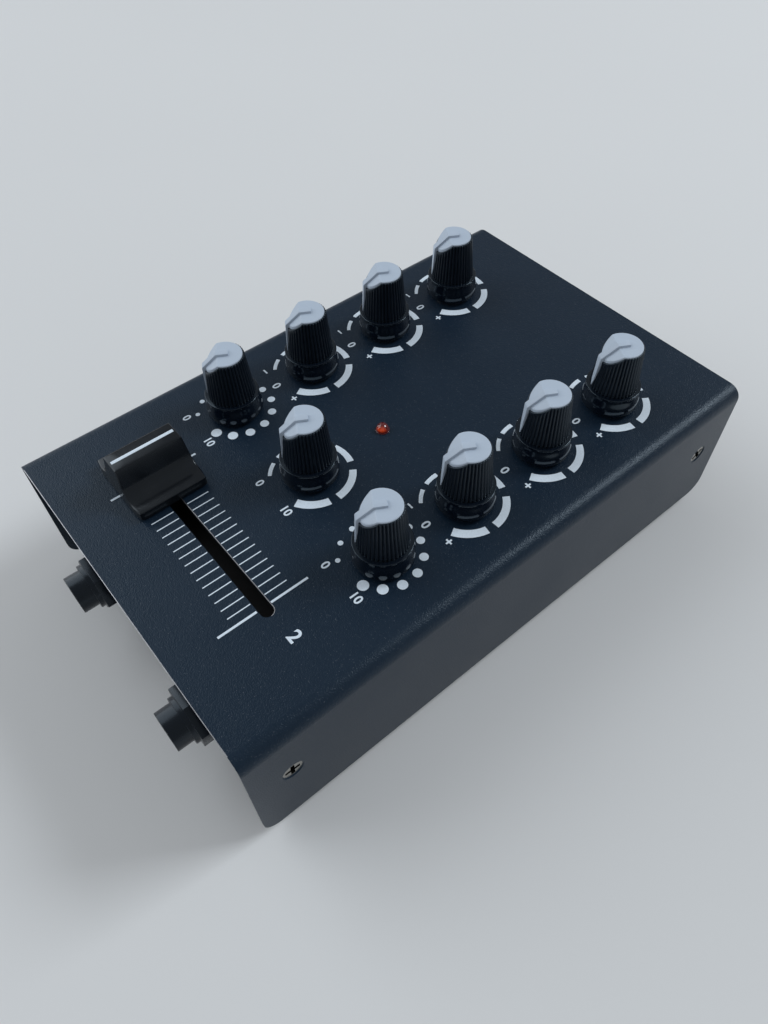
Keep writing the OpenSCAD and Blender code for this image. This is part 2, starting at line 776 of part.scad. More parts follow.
module jack_nuts() {
    nut_front = front_panel - jack_nut_t;
    nut_turn = [52, 17];
    color([0.08, 0.08, 0.09]) for (i = [0, 1]) translate([(2 * i - 1) * jack_x, 0, jack_z]) difference() {
        union() {
            translate([0, front_panel, 0]) rotate([90, 0, 0]) rotate([0, 0, nut_turn[i]])
                cylinder(r = jack_nut_af / 2 / cos(30), h = jack_nut_t, $fn = 6);
            rod_y(jack_collar_d / 2, nut_front - jack_collar_t, nut_front + lap);
        }
        rod_y(jack_barrel_d / 2 + 0.05, nut_front - jack_collar_t - lap, front_panel + lap);
    }
}

// ---------- rear connectors ----------

module sockets(x) {
    color([0.07, 0.07, 0.08]) translate([x, 0, rear_mid_z]) difference() {
        box([-rca_block_w / 2, rear_inner - rear_depth, -rca_block_h / 2],
            [rca_block_w / 2, rear_inner, rca_block_h / 2]);
        rod_y(screw_d / 2 + 0.05, rear_panel - screw_l - 0.3, rear_inner + lap);
    }
}

module at_sockets() {
    for (x = socket_x, s = [-1, 1]) translate([x, 0, rear_mid_z + s * rca_pitch / 2]) children();
}

module socket_sleeves() {
    color([0.8, 0.8, 0.82]) at_sockets() difference() {
        union() {
            rod_y(rca_r, rear_panel, rear_panel + rca_reach);
            rod_y(rca_r - rca_wall / 2, rear_inner, rear_panel + lap);
        }
        rod_y(rca_r - rca_wall, rear_inner - lap, rear_panel + rca_reach + lap);
    }
}

module socket_inserts() {
    color([0.85, 0.85, 0.85]) at_sockets() difference() {
        rod_y(rca_r - rca_wall - 0.05, rear_inner, rear_panel + rca_reach - 0.8);
        rod_y(1.6, rear_panel + rca_reach - 8.3, rear_panel + rca_reach);
    }
}

module power_inlet() {
    r = inlet_bore_d / 2;
    color([0.07, 0.07, 0.08]) translate([inlet_x, 0, rear_mid_z]) {
        difference() {
            union() {
                rod_y(r + inlet_wall, rear_inner - lap, rear_panel + inlet_proud);
                box([-inlet_w / 2, rear_inner - rear_depth, -inlet_h / 2],
                    [inlet_w / 2, rear_inner, inlet_h / 2]);
            }
            rod_y(r, rear_panel - inlet_bore_l, rear_panel + inlet_proud + lap);
        }
        rod_y(inlet_pin_d / 2, rear_panel - inlet_bore_l - lap, rear_panel - inlet_proud);
    }
}

module switch_cases() {
    color([0.62, 0.62, 0.64]) for (x = switch_x) translate([x, 0, rear_mid_z]) difference() {
        box([-cavity_l / 2 - switch_wall, rear_inner - rear_depth, -slide_h / 2 - slider_gap - switch_wall],
            [cavity_l / 2 + switch_wall, rear_inner, slide_h / 2 + slider_gap + switch_wall]);
        box([-cavity_l / 2, rear_inner - switch_slide_t - 2 * slider_gap, -slide_h / 2 - slider_gap],
            [cavity_l / 2, rear_inner + lap, slide_h / 2 + slider_gap]);
    }
}

module line_switch(x) {
    color([0.07, 0.07, 0.08]) translate([x - switch_travel / 2, 0, rear_mid_z]) {
        box([-slide_l / 2, rear_inner - switch_slide_t - slider_gap, -slide_h / 2],
            [slide_l / 2, rear_inner - slider_gap, slide_h / 2]);
        box([-switch_tip_w / 2, rear_inner - switch_slide_t, -switch_tip_h / 2],
            [switch_tip_w / 2, rear_panel + panel_recess, switch_tip_h / 2]);
    }
}

// ---------- boards and cables ----------

module main_board() {
    color([0.1, 0.32, 0.18]) {
        box([-board_w / 2, front_y + board_front, board_bottom],
            [board_w / 2, rear_y - board_rear, board_top]);
        // Capacitors and amplifier chips on the underside
        for (i = [-1.5:1.5], j = [-1, 0])
            translate([i * capacitor_pitch, (j + 0.25) * capacitor_pitch, board_bottom - capacitor_h])
                cylinder(d = capacitor_d, h = capacitor_h + lap);
        for (i = [-1:1]) translate([i * capacitor_pitch, capacitor_pitch, board_bottom])
            box([-chip_w / 2, -chip_w / 2, -chip_t], [chip_w / 2, chip_w / 2, lap]);
    }
}

module io_board() {
    color([0.1, 0.32, 0.18])
        box([-board_w / 2, io_board_y, floor_top + 1],
            [board_w / 2, io_board_y + board_t, board_bottom - 1]);
}

// Flat cable from a vertical face at y0 to the underside of the main board
module flat_cable(x, w, y0, dir, z) {
    bend = cable_bend;
    run = cable_run;
    translate([x, y0, z]) rotate([90, 0, 90]) translate([0, 0, -w / 2]) linear_extrude(w) {
        translate([dir > 0 ? 0 : -run, -cable_t / 2]) square([run, cable_t]);
        translate([dir * run, bend]) intersection() {
            difference() {
                circle(bend + cable_t / 2);
                circle(bend - cable_t / 2);
            }
            translate([dir > 0 ? 0 : -2 * bend, -2 * bend]) square(2 * bend);
        }
        translate([dir * (run + bend) - cable_t / 2, bend]) square([cable_t, board_bottom - z - bend]);
    }
}

module flat_cables() {
    color([0.6, 0.6, 0.62]) {
        flat_cable(0, cable_w, io_board_y, -1, rear_mid_z);
        for (s = [-1, 1])
            flat_cable(s * jack_x, jack_cable_w, front_inner + jack_case_l, 1, jack_z);
    }
}

// ---------- nodes ----------

for (d = DIALS) {
    knob(d);
    pointer(d);
    shaft(d);
    pot(d);
}
pot_fixings();
cover();
chassis();
case_screws();
rubber_feet();
main_board();
io_board();
flat_cables();
crossfader_case();
crossfader_lever();
crossfader_cap();
power_light();
jack(-1);  // mic_jack
jack(1);  // headphone_jack
jack_nuts();
sockets(socket_x[0]);  // channel_1_sockets
sockets(socket_x[1]);  // channel_2_sockets
sockets(socket_x[2]);  // master_sockets
socket_sleeves();
socket_inserts();
power_inlet();
switch_cases();
line_switch(switch_x[0]);  // channel_1_switch
line_switch(switch_x[1]);  // channel_2_switch
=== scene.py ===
# %% [markdown]
# # A small tabletop DJ mixer
# The real thing is a folded steel box with moulded knobs, a crossfader and a few sockets.
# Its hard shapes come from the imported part, which the frame loads. This file adds what a
# drawing leaves out: rounded edges, ribs, printing, grain and shine.
# Every size is in metres, in the part's own frame: X to the user's right, Y to the rear, Z up.

# %% Load the frame
import math

import bmesh
import bpy
from mathutils import Matrix, Vector


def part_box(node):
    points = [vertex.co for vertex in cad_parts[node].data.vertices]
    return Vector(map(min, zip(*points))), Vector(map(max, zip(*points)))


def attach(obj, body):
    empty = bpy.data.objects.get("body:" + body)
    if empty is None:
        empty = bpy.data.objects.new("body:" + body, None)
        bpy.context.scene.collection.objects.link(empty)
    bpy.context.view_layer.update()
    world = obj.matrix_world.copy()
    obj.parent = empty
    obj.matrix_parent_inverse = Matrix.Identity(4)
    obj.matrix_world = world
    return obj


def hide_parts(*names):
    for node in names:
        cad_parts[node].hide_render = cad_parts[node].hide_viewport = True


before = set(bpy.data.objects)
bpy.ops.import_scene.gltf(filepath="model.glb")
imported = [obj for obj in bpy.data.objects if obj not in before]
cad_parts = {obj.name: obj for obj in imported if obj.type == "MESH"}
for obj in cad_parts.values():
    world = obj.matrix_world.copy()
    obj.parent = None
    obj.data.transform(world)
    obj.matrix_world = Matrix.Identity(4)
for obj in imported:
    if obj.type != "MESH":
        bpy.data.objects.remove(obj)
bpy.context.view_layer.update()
MM = 0.001
COVER_TOP = 46 * MM

# %% [markdown]
# ## The camera
# The view looks down from close above the front right corner. The lens is short, so the near
# corner looks large. The camera is made first, because all else is judged by it.


# %% Camera
def add(name, data):
    """Put a new object with this camera, lamp or mesh into the scene."""
    made = bpy.data.objects.new(name, data)
    bpy.context.scene.collection.objects.link(made)
    return made


camera_data = bpy.data.cameras.new("camera")
camera_data.sensor_width = 36
camera_data.lens = 27.0685
camera_data.clip_start = 0.01
camera = add("camera", camera_data)
camera.location = (0.114343, -0.093128, 0.199473)
camera.rotation_euler = [math.radians(a) for a in (37.3981, 0.9222, 50.5602)]
bpy.context.scene.camera = camera
bpy.context.scene.view_settings.view_transform = "Standard"
print("camera: lens", camera_data.lens, "mm")

# %% [markdown]
# ## Node trees as sums
# Nodes could be wired by hand, but a tree is easier to read as arithmetic. `Wire` is one socket
# that can be added, multiplied and compared, and each sum adds its Math node.


# %% Wires
class Wire:
    """One socket of a node tree that takes part in Python arithmetic."""

    def __init__(self, graph, node, output=0):
        self.graph = graph
        self.owner = node
        self.socket = node.outputs[output]

    def out(self, output):
        return Wire(self.graph, self.owner, output)

    def math(self, operation, *others):
        return self.graph.math(operation, self, *others)

    def held(self):
        """The same value, held between 0 and 1."""
        return self.graph.math("ADD", self, 0, clamp=True)

    def __add__(self, other):
        return self.math("ADD", other)

    def __sub__(self, other):
        return self.math("SUBTRACT", other)

    def __rsub__(self, other):
        return self.graph.math("SUBTRACT", other, self)

    def __mul__(self, other):
        return self.math("MULTIPLY", other)

    def __truediv__(self, other):
        return self.math("DIVIDE", other)

    def __rtruediv__(self, other):
        return self.graph.math("DIVIDE", other, self)

    def __pow__(self, other):
        return self.math("POWER", other)

    def __lt__(self, other):
        return self.math("LESS_THAN", other)

    def __gt__(self, other):
        return self.math("GREATER_THAN", other)

    __radd__ = __add__
    __rmul__ = __mul__


print("wires ready")

# %% [markdown]
# ## One method for every node
# `Graph.node` makes any node: its settings are set first, then its inputs, each from a value or
# from a wire. The short methods after it are for the nodes that come back all the time.


# %% Graphs
class Graph:
    """A node tree, shader or geometry, that is filled one node at a time."""

    def __init__(self, tree):
        self.tree = tree

    def node(self, kind, settings=None, inputs=None, output=0):
        made = self.tree.nodes.new(kind)
        for name, value in (settings or {}).items():
            setattr(made, name, value)
        for key, value in (inputs or {}).items():
            if isinstance(value, Wire):
                self.tree.links.new(value.socket, made.inputs[key])
            else:
                made.inputs[key].default_value = value
        return Wire(self, made, output)

    def math(self, operation, *values, clamp=False):
        settings = {"operation": operation, "use_clamp": clamp}
        return self.node("ShaderNodeMath", settings, dict(enumerate(values)))

    def number(self, wire, low, high, to_low=0.0, to_high=1.0):
        """Bring a value from one range into another, held at both ends."""
        values = {"From Min": low, "From Max": high, "To Min": to_low, "To Max": to_high}
        return self.node("ShaderNodeMapRange", {"clamp": True}, {"Value": wire, **values})

    def drift(self, cloud, low, high):
        """Let a cloud of noise carry a value from low to high."""
        return self.number(cloud, 0.3, 0.7, low, high)

    def mix(self, share, first, second):
        """A colour between two others."""
        return self.node("ShaderNodeMix", {"data_type": "RGBA"}, {0: share, 6: first, 7: second}, 2)

    def vector(self, x, y, z):
        return self.node("ShaderNodeCombineXYZ", None, {0: x, 1: y, 2: z})

    def split(self, vector):
        return self.node("ShaderNodeSeparateXYZ", None, {0: vector})


print("graphs ready")

# %% [markdown]
# ## Finishes
# `finish` makes a material with one Principled shader. Each recipe below gets the graph and the
# place on the piece, and returns what varies over the surface. What is the same all over is set
# straight on the shader, because it needs no pattern.


# %% Material helpers
def finish(name, constants, recipe):
    material = bpy.data.materials.new(name)
    material.use_nodes = True
    tree = material.node_tree
    shader = tree.nodes["Principled BSDF"]
    for key, value in constants.items():
        shader.inputs[key].default_value = value
    graph = Graph(tree)
    place = graph.node("ShaderNodeTexCoord").out("Object")
    for key, wire in recipe(graph, place).items():
        tree.links.new(wire.socket, shader.inputs[key])
    return material


def noise(graph, place, size, detail=2.0):
    """Soft random values whose features are about `size` across."""
    return graph.node("ShaderNodeTexNoise", None, {"Vector": place, "Scale": 1 / size, "Detail": detail})


def bump(graph, height, depth):
    """Turn a height of 0 to 1 into a tilt of the surface, `depth` metres deep."""
    return graph.node("ShaderNodeBump", None, {"Height": height, "Distance": depth}).out("Normal")


def rgb(*values):
    return (*values, 1.0)


def gloss(level, tint=(1.0, 1.0, 1.0)):
    """How strongly a paint or a plastic mirrors, and in what tone."""
    return {"Specular IOR Level": level, "Specular Tint": rgb(*tint)}


print("finish helpers ready")

# %% [markdown]
# ### Powder coat
# The steel is coated with powder that melts into tiny round beads. The beads scatter the light,
# so the top is an even dark blue grey and the bend sparkles. As a mesh they would take millions
# of faces, so noise makes the relief. Light specks in the colour are painted glints of the beads,
# and a slow cloud changes the gloss as fingers and dust do.


# %% Powder coat
def powder_coat(dark, light):
    def recipe(graph, place):
        beads = noise(graph, place, 0.32 * MM, 1.0)
        lumps = noise(graph, place, 1.0 * MM)
        cloud = noise(graph, place, 30 * MM, 3.0)
        cells = graph.node("ShaderNodeTexVoronoi", {"feature": "F1"},
                           {"Vector": place, "Scale": 1 / (0.62 * MM)}).out("Distance")
        # Painted glints: light specks in the colour stand for the sparkle of the coat's beads.
        painted_glints = (cells < 0.15) * (noise(graph, place, 1.7 * MM, 3.0) > 0.5)
        tone = graph.number(lumps * 0.5 + cloud * 0.5, 0.35, 0.65)
        colour = graph.mix(tone, rgb(*dark), rgb(*light))
        return {
            "Base Color": graph.mix(painted_glints * 0.5, colour, rgb(0.13, 0.145, 0.17)),
            "Roughness": graph.drift(cloud, 0.29, 0.35) + painted_glints * 0.1,
            "Normal": bump(graph, beads * 0.7 + lumps * 0.3, 0.15 * MM),
        }
    return recipe


case_paint = finish("case_paint", gloss(0.28, (0.78, 0.91, 1.0)),
                    powder_coat((0.0072, 0.017, 0.0325), (0.0098, 0.0205, 0.0375)))
tray_paint = finish("tray_paint", gloss(0.3),
                    powder_coat((0.008, 0.009, 0.011), (0.011, 0.012, 0.015)))
print("powder coat ready")

# %% [markdown]
# ### Moulded plastic
# The fader cap, jacks and sockets are moulded in black plastic. It is smooth but never perfect:
# the gloss drifts, and fine dust and rub marks catch the light. The light grey of the pointers
# and the rubber of the feet differ only in colour, gloss and grain, so one recipe serves all.


# %% Plastics
def moulded(colour, rough, grain_size, grain_depth, dust):
    paler = [min(1.0, c + dust) for c in colour]

    def recipe(graph, place):
        cloud = noise(graph, place, 5 * MM, 3.0)
        grain = noise(graph, place, grain_size)
        paler_share = graph.number(grain * cloud, 0.3, 0.5)
        return {
            "Base Color": graph.mix(paler_share, rgb(*colour), rgb(*paler)),
            "Roughness": graph.drift(cloud, rough - 0.05, rough + 0.06),
            "Normal": bump(graph, grain, grain_depth),
        }
    return recipe


cap_black = finish("cap_black", gloss(0.42, (0.85, 0.93, 1.0)),
                   moulded((0.005, 0.0065, 0.009), 0.2, 0.3 * MM, 0.003 * MM, 0.005))
pointer_grey = finish("pointer_grey", gloss(0.4),
                      moulded((0.475, 0.55, 0.65), 0.42, 0.2 * MM, 0.006 * MM, 0.05))
jack_black = finish("jack_black", gloss(0.38, (0.75, 0.88, 1.0)),
                    moulded((0.005, 0.0075, 0.0125), 0.26, 0.3 * MM, 0.006 * MM, 0.008))
socket_black = finish("socket_black", gloss(0.45),
                      moulded((0.01, 0.01, 0.011), 0.4, 0.3 * MM, 0.006 * MM, 0.008))
foot_rubber = finish("foot_rubber", gloss(0.3),
                     moulded((0.012, 0.012, 0.012), 0.75, 0.4 * MM, 0.02 * MM, 0.01))
print("plastics ready")

# %% [markdown]
# ### The knobs' two glosses
# A knob is one moulding with two surfaces. The skirt comes from a polished part of the mould and
# mirrors the printed marks round it. The ribs are duller, with a paler blue mottle: dust and painted
# sheen.
# Two materials would split the piece, so the height above the table tells the two apart.

# %% Knob plastic
POLISH_Z = 53.25 * MM


def knob_plastic(graph, place):
    dull = graph.number(graph.split(place).out("Z"), POLISH_Z, POLISH_Z + 0.3 * MM)
    cloud = noise(graph, place, 4 * MM, 3.0)
    grain = noise(graph, place, 0.3 * MM)
    # Paler blue mottle on the ribs only: part dust, part painted sheen.
    paler_share = graph.number(grain * cloud, 0.32, 0.5) * dull
    return {
        "Base Color": graph.mix(paler_share, rgb(0.0025, 0.005, 0.0105), rgb(0.008, 0.0145, 0.027)),
        "Roughness": graph.drift(cloud, 0.1, 0.16) + dull * 0.24,
        "Normal": bump(graph, grain, 0.003 * MM),
    }


knob_black = finish("knob_black", gloss(0.55, (0.68, 0.86, 1.0)), knob_plastic)
print("knob plastic ready")

# %% [markdown]
# ### Printing ink
# The marks are screen printed: a thin, bright, matt film. The mesh of the screen leaves a faint
# mottle in it, so no two marks have quite the same tone.

# %% Ink
FULL_INK = (0.74, 0.83, 0.92)
THIN_INK = [c * 0.93 for c in FULL_INK]


def ink(graph, place):
    mottle = noise(graph, place, 0.5 * MM, 3.0)
    return {
        "Base Color": graph.mix(graph.number(mottle, 0.35, 0.6), rgb(*THIN_INK), rgb(*FULL_INK)),
        "Roughness": graph.drift(mottle, 0.5, 0.62),
        "Normal": bump(graph, mottle, 0.006 * MM),
    }


print_white = finish("print_white", gloss(0.4), ink)
print("ink ready")

# %% [markdown]
# ### Plated metal
# Screws, nuts and sleeves are nickel plated, shafts are turned, and pot cases are bare sheet.
# Fine lines from turning run round them, the plating clouds a little with age, and grime with
# painted shade darkens the screws' crosses, which a colour layer called "hollow" marks. The
# fader's case is painted near black as painted shade, so that nothing shines through its slot.

# %% Metals
# Grime with painted shade, for the screws' crosses.
GRIME_AND_SHADE = rgb(0.012, 0.011, 0.01)
ALONG_LINES = (1, 1, 9)


def plated(colour, rough):
    darker = [c * 0.82 for c in colour]

    def recipe(graph, place):
        hollow = graph.node("ShaderNodeAttribute", {"attribute_name": "hollow"}).out("Fac")
        stretched = graph.node("ShaderNodeVectorMath", {"operation": "MULTIPLY"},
                               {0: place, 1: ALONG_LINES})
        lines = noise(graph, stretched, 0.5 * MM, 3.0)
        cloud = graph.drift(noise(graph, place, 2 * MM), 0.0, 1.0)
        metal = graph.mix(cloud, rgb(*darker), rgb(*colour))
        return {
            # The recess marked hollow is darkened: part grime, part painted shade.
            "Base Color": graph.mix(hollow, metal, GRIME_AND_SHADE),
            "Roughness": graph.drift(lines, rough - 0.06, rough + 0.08) + hollow * 0.3,
            "Normal": bump(graph, lines, 0.002 * MM),
        }
    return recipe


nickel = finish("nickel", {"Metallic": 1.0}, plated((0.4, 0.385, 0.35), 0.24))
bare_steel = finish("bare_steel", {"Metallic": 1.0}, plated((0.5, 0.5, 0.52), 0.38))
shaft_metal = finish("shaft_metal", {"Metallic": 1.0}, plated((0.7, 0.7, 0.72), 0.3))
# Painted shade: the fader's case is near black so that its slot looks dark.
painted_shade_steel = finish("painted_shade_steel", gloss(0.2), plated((0.006, 0.006, 0.007), 0.6))
print("metals ready")

# %% [markdown]
# ### Lamp resin
# The power light is cast in clear red resin. Light falls in at the rear and comes out at the
# front right. Clear resin would render slowly, so a glow on that side stands for the light, the
# rest stays a deep red, and the clear coat gives the small white glints.

# %% Resin
LIGHT_Y = -2.8 * MM


def resin(graph, place):
    spot = graph.split(place)
    lean = spot.out("X") * 0.55 - (spot.out("Y") - LIGHT_Y) * 0.8
    glow = graph.number(lean, 0.5 * MM, 1.9 * MM)
    height = graph.number(spot.out("Z"), COVER_TOP + 0.5 * MM, COVER_TOP + 1.2 * MM)
    swirl = noise(graph, place, 0.9 * MM)
    tone = graph.number(glow * 0.85 + swirl * 0.35, 0.2, 1.0) * height
    return {
        "Base Color": graph.mix(tone, rgb(0.1, 0.003, 0.003), rgb(0.6, 0.04, 0.008)),
        "Emission Color": graph.mix(tone, rgb(0.03, 0.0, 0.0), rgb(0.9, 0.1, 0.008)),
        "Roughness": graph.drift(swirl, 0.08, 0.14),
    }


clear_coat = {"Coat Weight": 1.0, "Coat Roughness": 0.03}
light_red = finish("light_red", {**clear_coat, "Emission Strength": 0.4}, resin)
print("resin ready")

# %% [markdown]
# ### Boards, cables and inserts
# Inside lie green circuit boards with copper runs under the lacquer, and ribbed flat cables. The
# phono sockets have a white insert for the left channel and a red one for the right. All six are
# one piece of the drawing, so the recipe looks at the height to choose.

# %% Inner finishes
WIRE_PITCH = 1.27 * MM
BETWEEN_ROWS = 21.5 * MM


def lacquered_board(graph, place):
    dark, bright = rgb(0, 0, 0), rgb(1, 1, 1)
    pattern = {"Scale": 1 / (9 * MM), "Mortar Size": 0.06, "Color1": dark, "Color2": dark,
               "Mortar": bright}
    runs = graph.node("ShaderNodeTexBrick", None, {"Vector": place, **pattern})
    cloud = noise(graph, place, 4 * MM)
    lacquer = graph.mix(cloud, rgb(0.012, 0.1, 0.04), rgb(0.02, 0.15, 0.06))
    return {
        "Base Color": graph.mix(runs, lacquer, rgb(0.05, 0.26, 0.1)),
        "Roughness": graph.drift(cloud, 0.25, 0.4),
        "Normal": bump(graph, runs, 0.03 * MM),
    }


def ribbed_cable(graph, place):
    across = graph.split(place).out("X") * (2 * math.pi / WIRE_PITCH)
    wave = across.math("SINE") * 0.5 + 0.5
    cloud = noise(graph, place, 3 * MM)
    tone = graph.mix(wave, rgb(0.16, 0.16, 0.17), rgb(0.36, 0.36, 0.37))
    return {
        "Base Color": graph.mix(cloud * 0.2, tone, rgb(0.2, 0.2, 0.2)),
        "Roughness": graph.drift(cloud, 0.45, 0.6),
        "Normal": bump(graph, wave, 0.2 * MM),
    }


def socket_plastic(graph, place):
    upper = graph.split(place).out("Z") > BETWEEN_ROWS
    cloud = noise(graph, place, 1.5 * MM)
    colour = graph.mix(upper, rgb(0.5, 0.02, 0.015), rgb(0.7, 0.7, 0.66))
    return {
        "Base Color": graph.mix(cloud * 0.25, colour, rgb(0.3, 0.28, 0.26)),
        "Roughness": graph.drift(cloud, 0.25, 0.38),
        "Normal": bump(graph, cloud, 0.01 * MM),
    }


board_green = finish("board_green", gloss(0.5), lacquered_board)
cable_grey = finish("cable_grey", gloss(0.4), ribbed_cable)
socket_white = finish("socket_white", gloss(0.5), socket_plastic)
print("inner finishes ready")

# %% [markdown]
# ## The table
# The mixer stands on a pale table. One large square is enough, because only its tone and the
# soft shadow on it are seen.


# %% Table
def table_top(graph, place):
    cloud = noise(graph, place, 0.4)
    return {
        "Base Color": graph.mix(cloud, rgb(0.72, 0.72, 0.72), rgb(0.76, 0.76, 0.76)),
        "Roughness": graph.drift(cloud, 0.7, 0.8),
    }


def stage_floor(half):
    mesh = bpy.data.meshes.new("floor")
    corners = [(-half, -half, 0), (half, -half, 0), (half, half, 0), (-half, half, 0)]
    mesh.from_pydata(corners, [], [(0, 1, 2, 3)])
    mesh.materials.append(finish("floor_pale", gloss(0.1), table_top))
    floor = add("floor", mesh)


stage_floor(3.0)
print("table ready")

# %% [markdown]
# ## The lamps
# A broad lamp at the front left stands for a window: it is large and therefore gentle, and it
# lights the knobs' sloping facets. A smaller one behind the right side puts the sparkle on the
# bend. Both and the sky are a little blue. A sun would give hard shadows, so there is none.
# `level` is the share of plain daylight that a lamp adds where the mixer stands.

# %% Lamps
MIDDLE = Vector((0, 0, 0.03))
DAYLIGHT = (0.88, 0.945, 1.0)
SKYLIGHT = rgb(0.94, 0.97, 1.0)


def lamp(name, place, size, level):
    data = bpy.data.lights.new(name, "AREA")
    data.shape = "RECTANGLE"
    data.color = DAYLIGHT
    data.size, data.size_y = size
    way = MIDDLE - Vector(place)
    data.energy = level * (math.pi * way.length) ** 2
    made = add(name, data)
    made.location = place
    made.rotation_mode = "QUATERNION"
    made.rotation_quaternion = way.to_track_quat("-Z", "Y")


def sky(level):
    world = bpy.data.worlds.new("sky")
    world.use_nodes = True
    bpy.context.scene.world = world
    shader = world.node_tree.nodes["Background"]
    shader.inputs["Color"].default_value = SKYLIGHT
    shader.inputs["Strength"].default_value = level


lamp("window", (-1.2, -0.75, 0.88), (1.8, 1.8), 0.64)
lamp("rear_window", (0.45, 1.12, 1.12), (0.6, 0.5), 0.46)
sky(0.32)
print("lamps ready")

# %% [markdown]
# ## Mesh helpers
# Most pieces start as plain lists of points. `piece` turns a mesh into an object that rides on
# its body and takes its finish. `tidy` merges doubles and turns every face outwards. `over`
# finds where on the cover a part of the frame stands, so that no place is written twice.


# %% Mesh helpers
def shade(mesh, angle=40):
    """Smooth a mesh, but keep the edges that are sharper than an angle in degrees."""
    for face in mesh.polygons:
        face.use_smooth = True
    mesh.set_sharp_from_angle(angle=math.radians(angle))


def piece(name, mesh, material, body, replaces=()):
    mesh.materials.clear()
    mesh.materials.append(material)
    made = add(name, mesh)
    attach(made, body)
    if replaces:
        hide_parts(*replaces)


def tidy(bm, distance=1e-7):
    bmesh.ops.remove_doubles(bm, verts=bm.verts, dist=distance)
    bmesh.ops.recalc_face_normals(bm, faces=bm.faces)


def to_mesh(bm, name):
    mesh = bpy.data.meshes.new(name)
    bm.to_mesh(mesh)
    bm.free()
    return mesh


def placed(bm, name, centre, angle=40):
    """A smooth mesh, moved from the origin to its place."""
    mesh = to_mesh(bm, name)
    mesh.transform(Matrix.Translation(centre))
    shade(mesh, angle)
    return mesh


def round_edges(bm, edges, width, segments):
    bmesh.ops.bevel(bm, geom=edges, offset=width, segments=segments, profile=0.5, affect="EDGES",
                    clamp_overlap=True)


def wall_between(bm, first, second):
    """Faces between two closed rows of points."""
    return [bm.faces.new((first[i - 1], first[i], second[i], second[i - 1])) for i in range(len(first))]


def over(node, shift=(0, 0)):
    """Point of the cover's top at the middle of a node, shifted in millimetres."""
    low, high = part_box(node)
    x, y = shift
    return Vector(((low.x + high.x) / 2 + x * MM, (low.y + high.y) / 2 + y * MM, COVER_TOP))


print("mesh helpers ready")

# %% [markdown]
# ## Plain nodes
# Pieces that are hidden in the case, or whose drawing shape is already right, stay as they
# are and only get their finish.

# %% Finishes for the plain nodes
PLAIN = {
    "cover": case_paint, "chassis": tray_paint, "rubber_feet": foot_rubber, "main_board": board_green,
    "io_board": board_green, "flat_cables": cable_grey, "crossfader_case": painted_shade_steel,
    "crossfader_lever": shaft_metal, "pot_fixings": nickel, "switch_cases": bare_steel,
    "socket_inserts": socket_white, "socket_sleeves": nickel,
}
SOCKET_BLOCKS = ["channel_1_sockets", "channel_2_sockets", "master_sockets"]
DIALS = [name.removesuffix("_knob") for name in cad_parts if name.endswith("_knob")]
for block in SOCKET_BLOCKS:
    PLAIN[block] = socket_black
for dial in DIALS:
    PLAIN[dial + "_shaft"] = shaft_metal
    PLAIN[dial + "_pot"] = bare_steel
for name, material in PLAIN.items():
    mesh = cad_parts[name].data
    mesh.materials.clear()
    mesh.materials.append(material)
print("plain nodes:", len(PLAIN), "dials:", DIALS)

# %% [markdown]
# ## Softened hardware
# The jacks, their nuts, the switches and the inlet are small machined or moulded things. They
# could be built again, but the drawing's shapes are right. So each is copied, and a tenth or
# two of a millimetre of rounding gives its edges the thin highlight that the real ones have.

# %% Jacks, nuts, switches, inlet
FLAT_ANGLE = math.radians(0.5)
SHARP_ANGLE = math.radians(28)


def soften(name, node, width, material, body):
    """Rounded copy of a node, which it then replaces."""
    bm = bmesh.new()
    bm.from_mesh(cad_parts[node].data)
    bmesh.ops.remove_doubles(bm, verts=bm.verts, dist=1e-6)
    bmesh.ops.dissolve_limit(bm, angle_limit=FLAT_ANGLE, verts=bm.verts, edges=bm.edges)
    shared = [edge for edge in bm.edges if len(edge.link_faces) == 2]
    round_edges(bm, [edge for edge in shared if edge.calc_face_angle(0) > SHARP_ANGLE], width, 2)
    mesh = to_mesh(bm, name)
    shade(mesh)
    piece(name, mesh, material, body, [node])


for jack in ("mic", "headphone"):
    soften(f"jack_{jack}", f"{jack}_jack", 0.15 * MM, jack_black, "case")
soften("jack_nut_pair", "jack_nuts", 0.25 * MM, jack_black, "case")
soften("inlet", "power_inlet", 0.15 * MM, socket_black, "case")
for channel in (1, 2):
    soften(f"slider_{channel}", f"channel_{channel}_switch", 0.2 * MM, socket_black,
           f"channel_{channel}_slider")
print("hardware softened")

# %% [markdown]
# ## Geometry trees
# Ribs, rings, dots and ticks repeat by a rule, so Geometry Nodes make them. `new_tree` starts a
# tree with named inputs. `grow` puts it on a carrier object, sets its inputs by their
# identifiers, takes the result as a plain mesh and throws the modifier away.


# %% Growing a mesh from a tree
def new_tree(name, inputs):
    """Start a tree; give its graph, the carrier's points and a wire for each input."""
    tree = bpy.data.node_groups.new(name, "GeometryNodeTree")
    tree.interface.new_socket("Geometry", in_out="INPUT", socket_type="NodeSocketGeometry")
    for label, value in inputs.items():
        kind = "NodeSocketInt" if isinstance(value, int) else "NodeSocketFloat"
        socket = tree.interface.new_socket(label, in_out="INPUT", socket_type=kind)
        socket.default_value = value
    tree.interface.new_socket("Geometry", in_out="OUTPUT", socket_type="NodeSocketGeometry")
    graph = Graph(tree)
    given = graph.node("NodeGroupInput")
    return graph, given.out("Geometry"), [given.out(label) for label in inputs]


def end_tree(graph, geometry, material):
    real = graph.node("GeometryNodeRealizeInstances", None, {0: geometry})
    inked = graph.node("GeometryNodeSetMaterial", None, {"Geometry": real, "Material": material})
    end = graph.tree.nodes.new("NodeGroupOutput")
    graph.tree.links.new(inked.socket, end.inputs[0])
    return graph.tree


def plain_mesh(carrier):
    bpy.context.view_layer.update()
    depsgraph = bpy.context.evaluated_depsgraph_get()
    return bpy.data.meshes.new_from_object(carrier.evaluated_get(depsgraph))


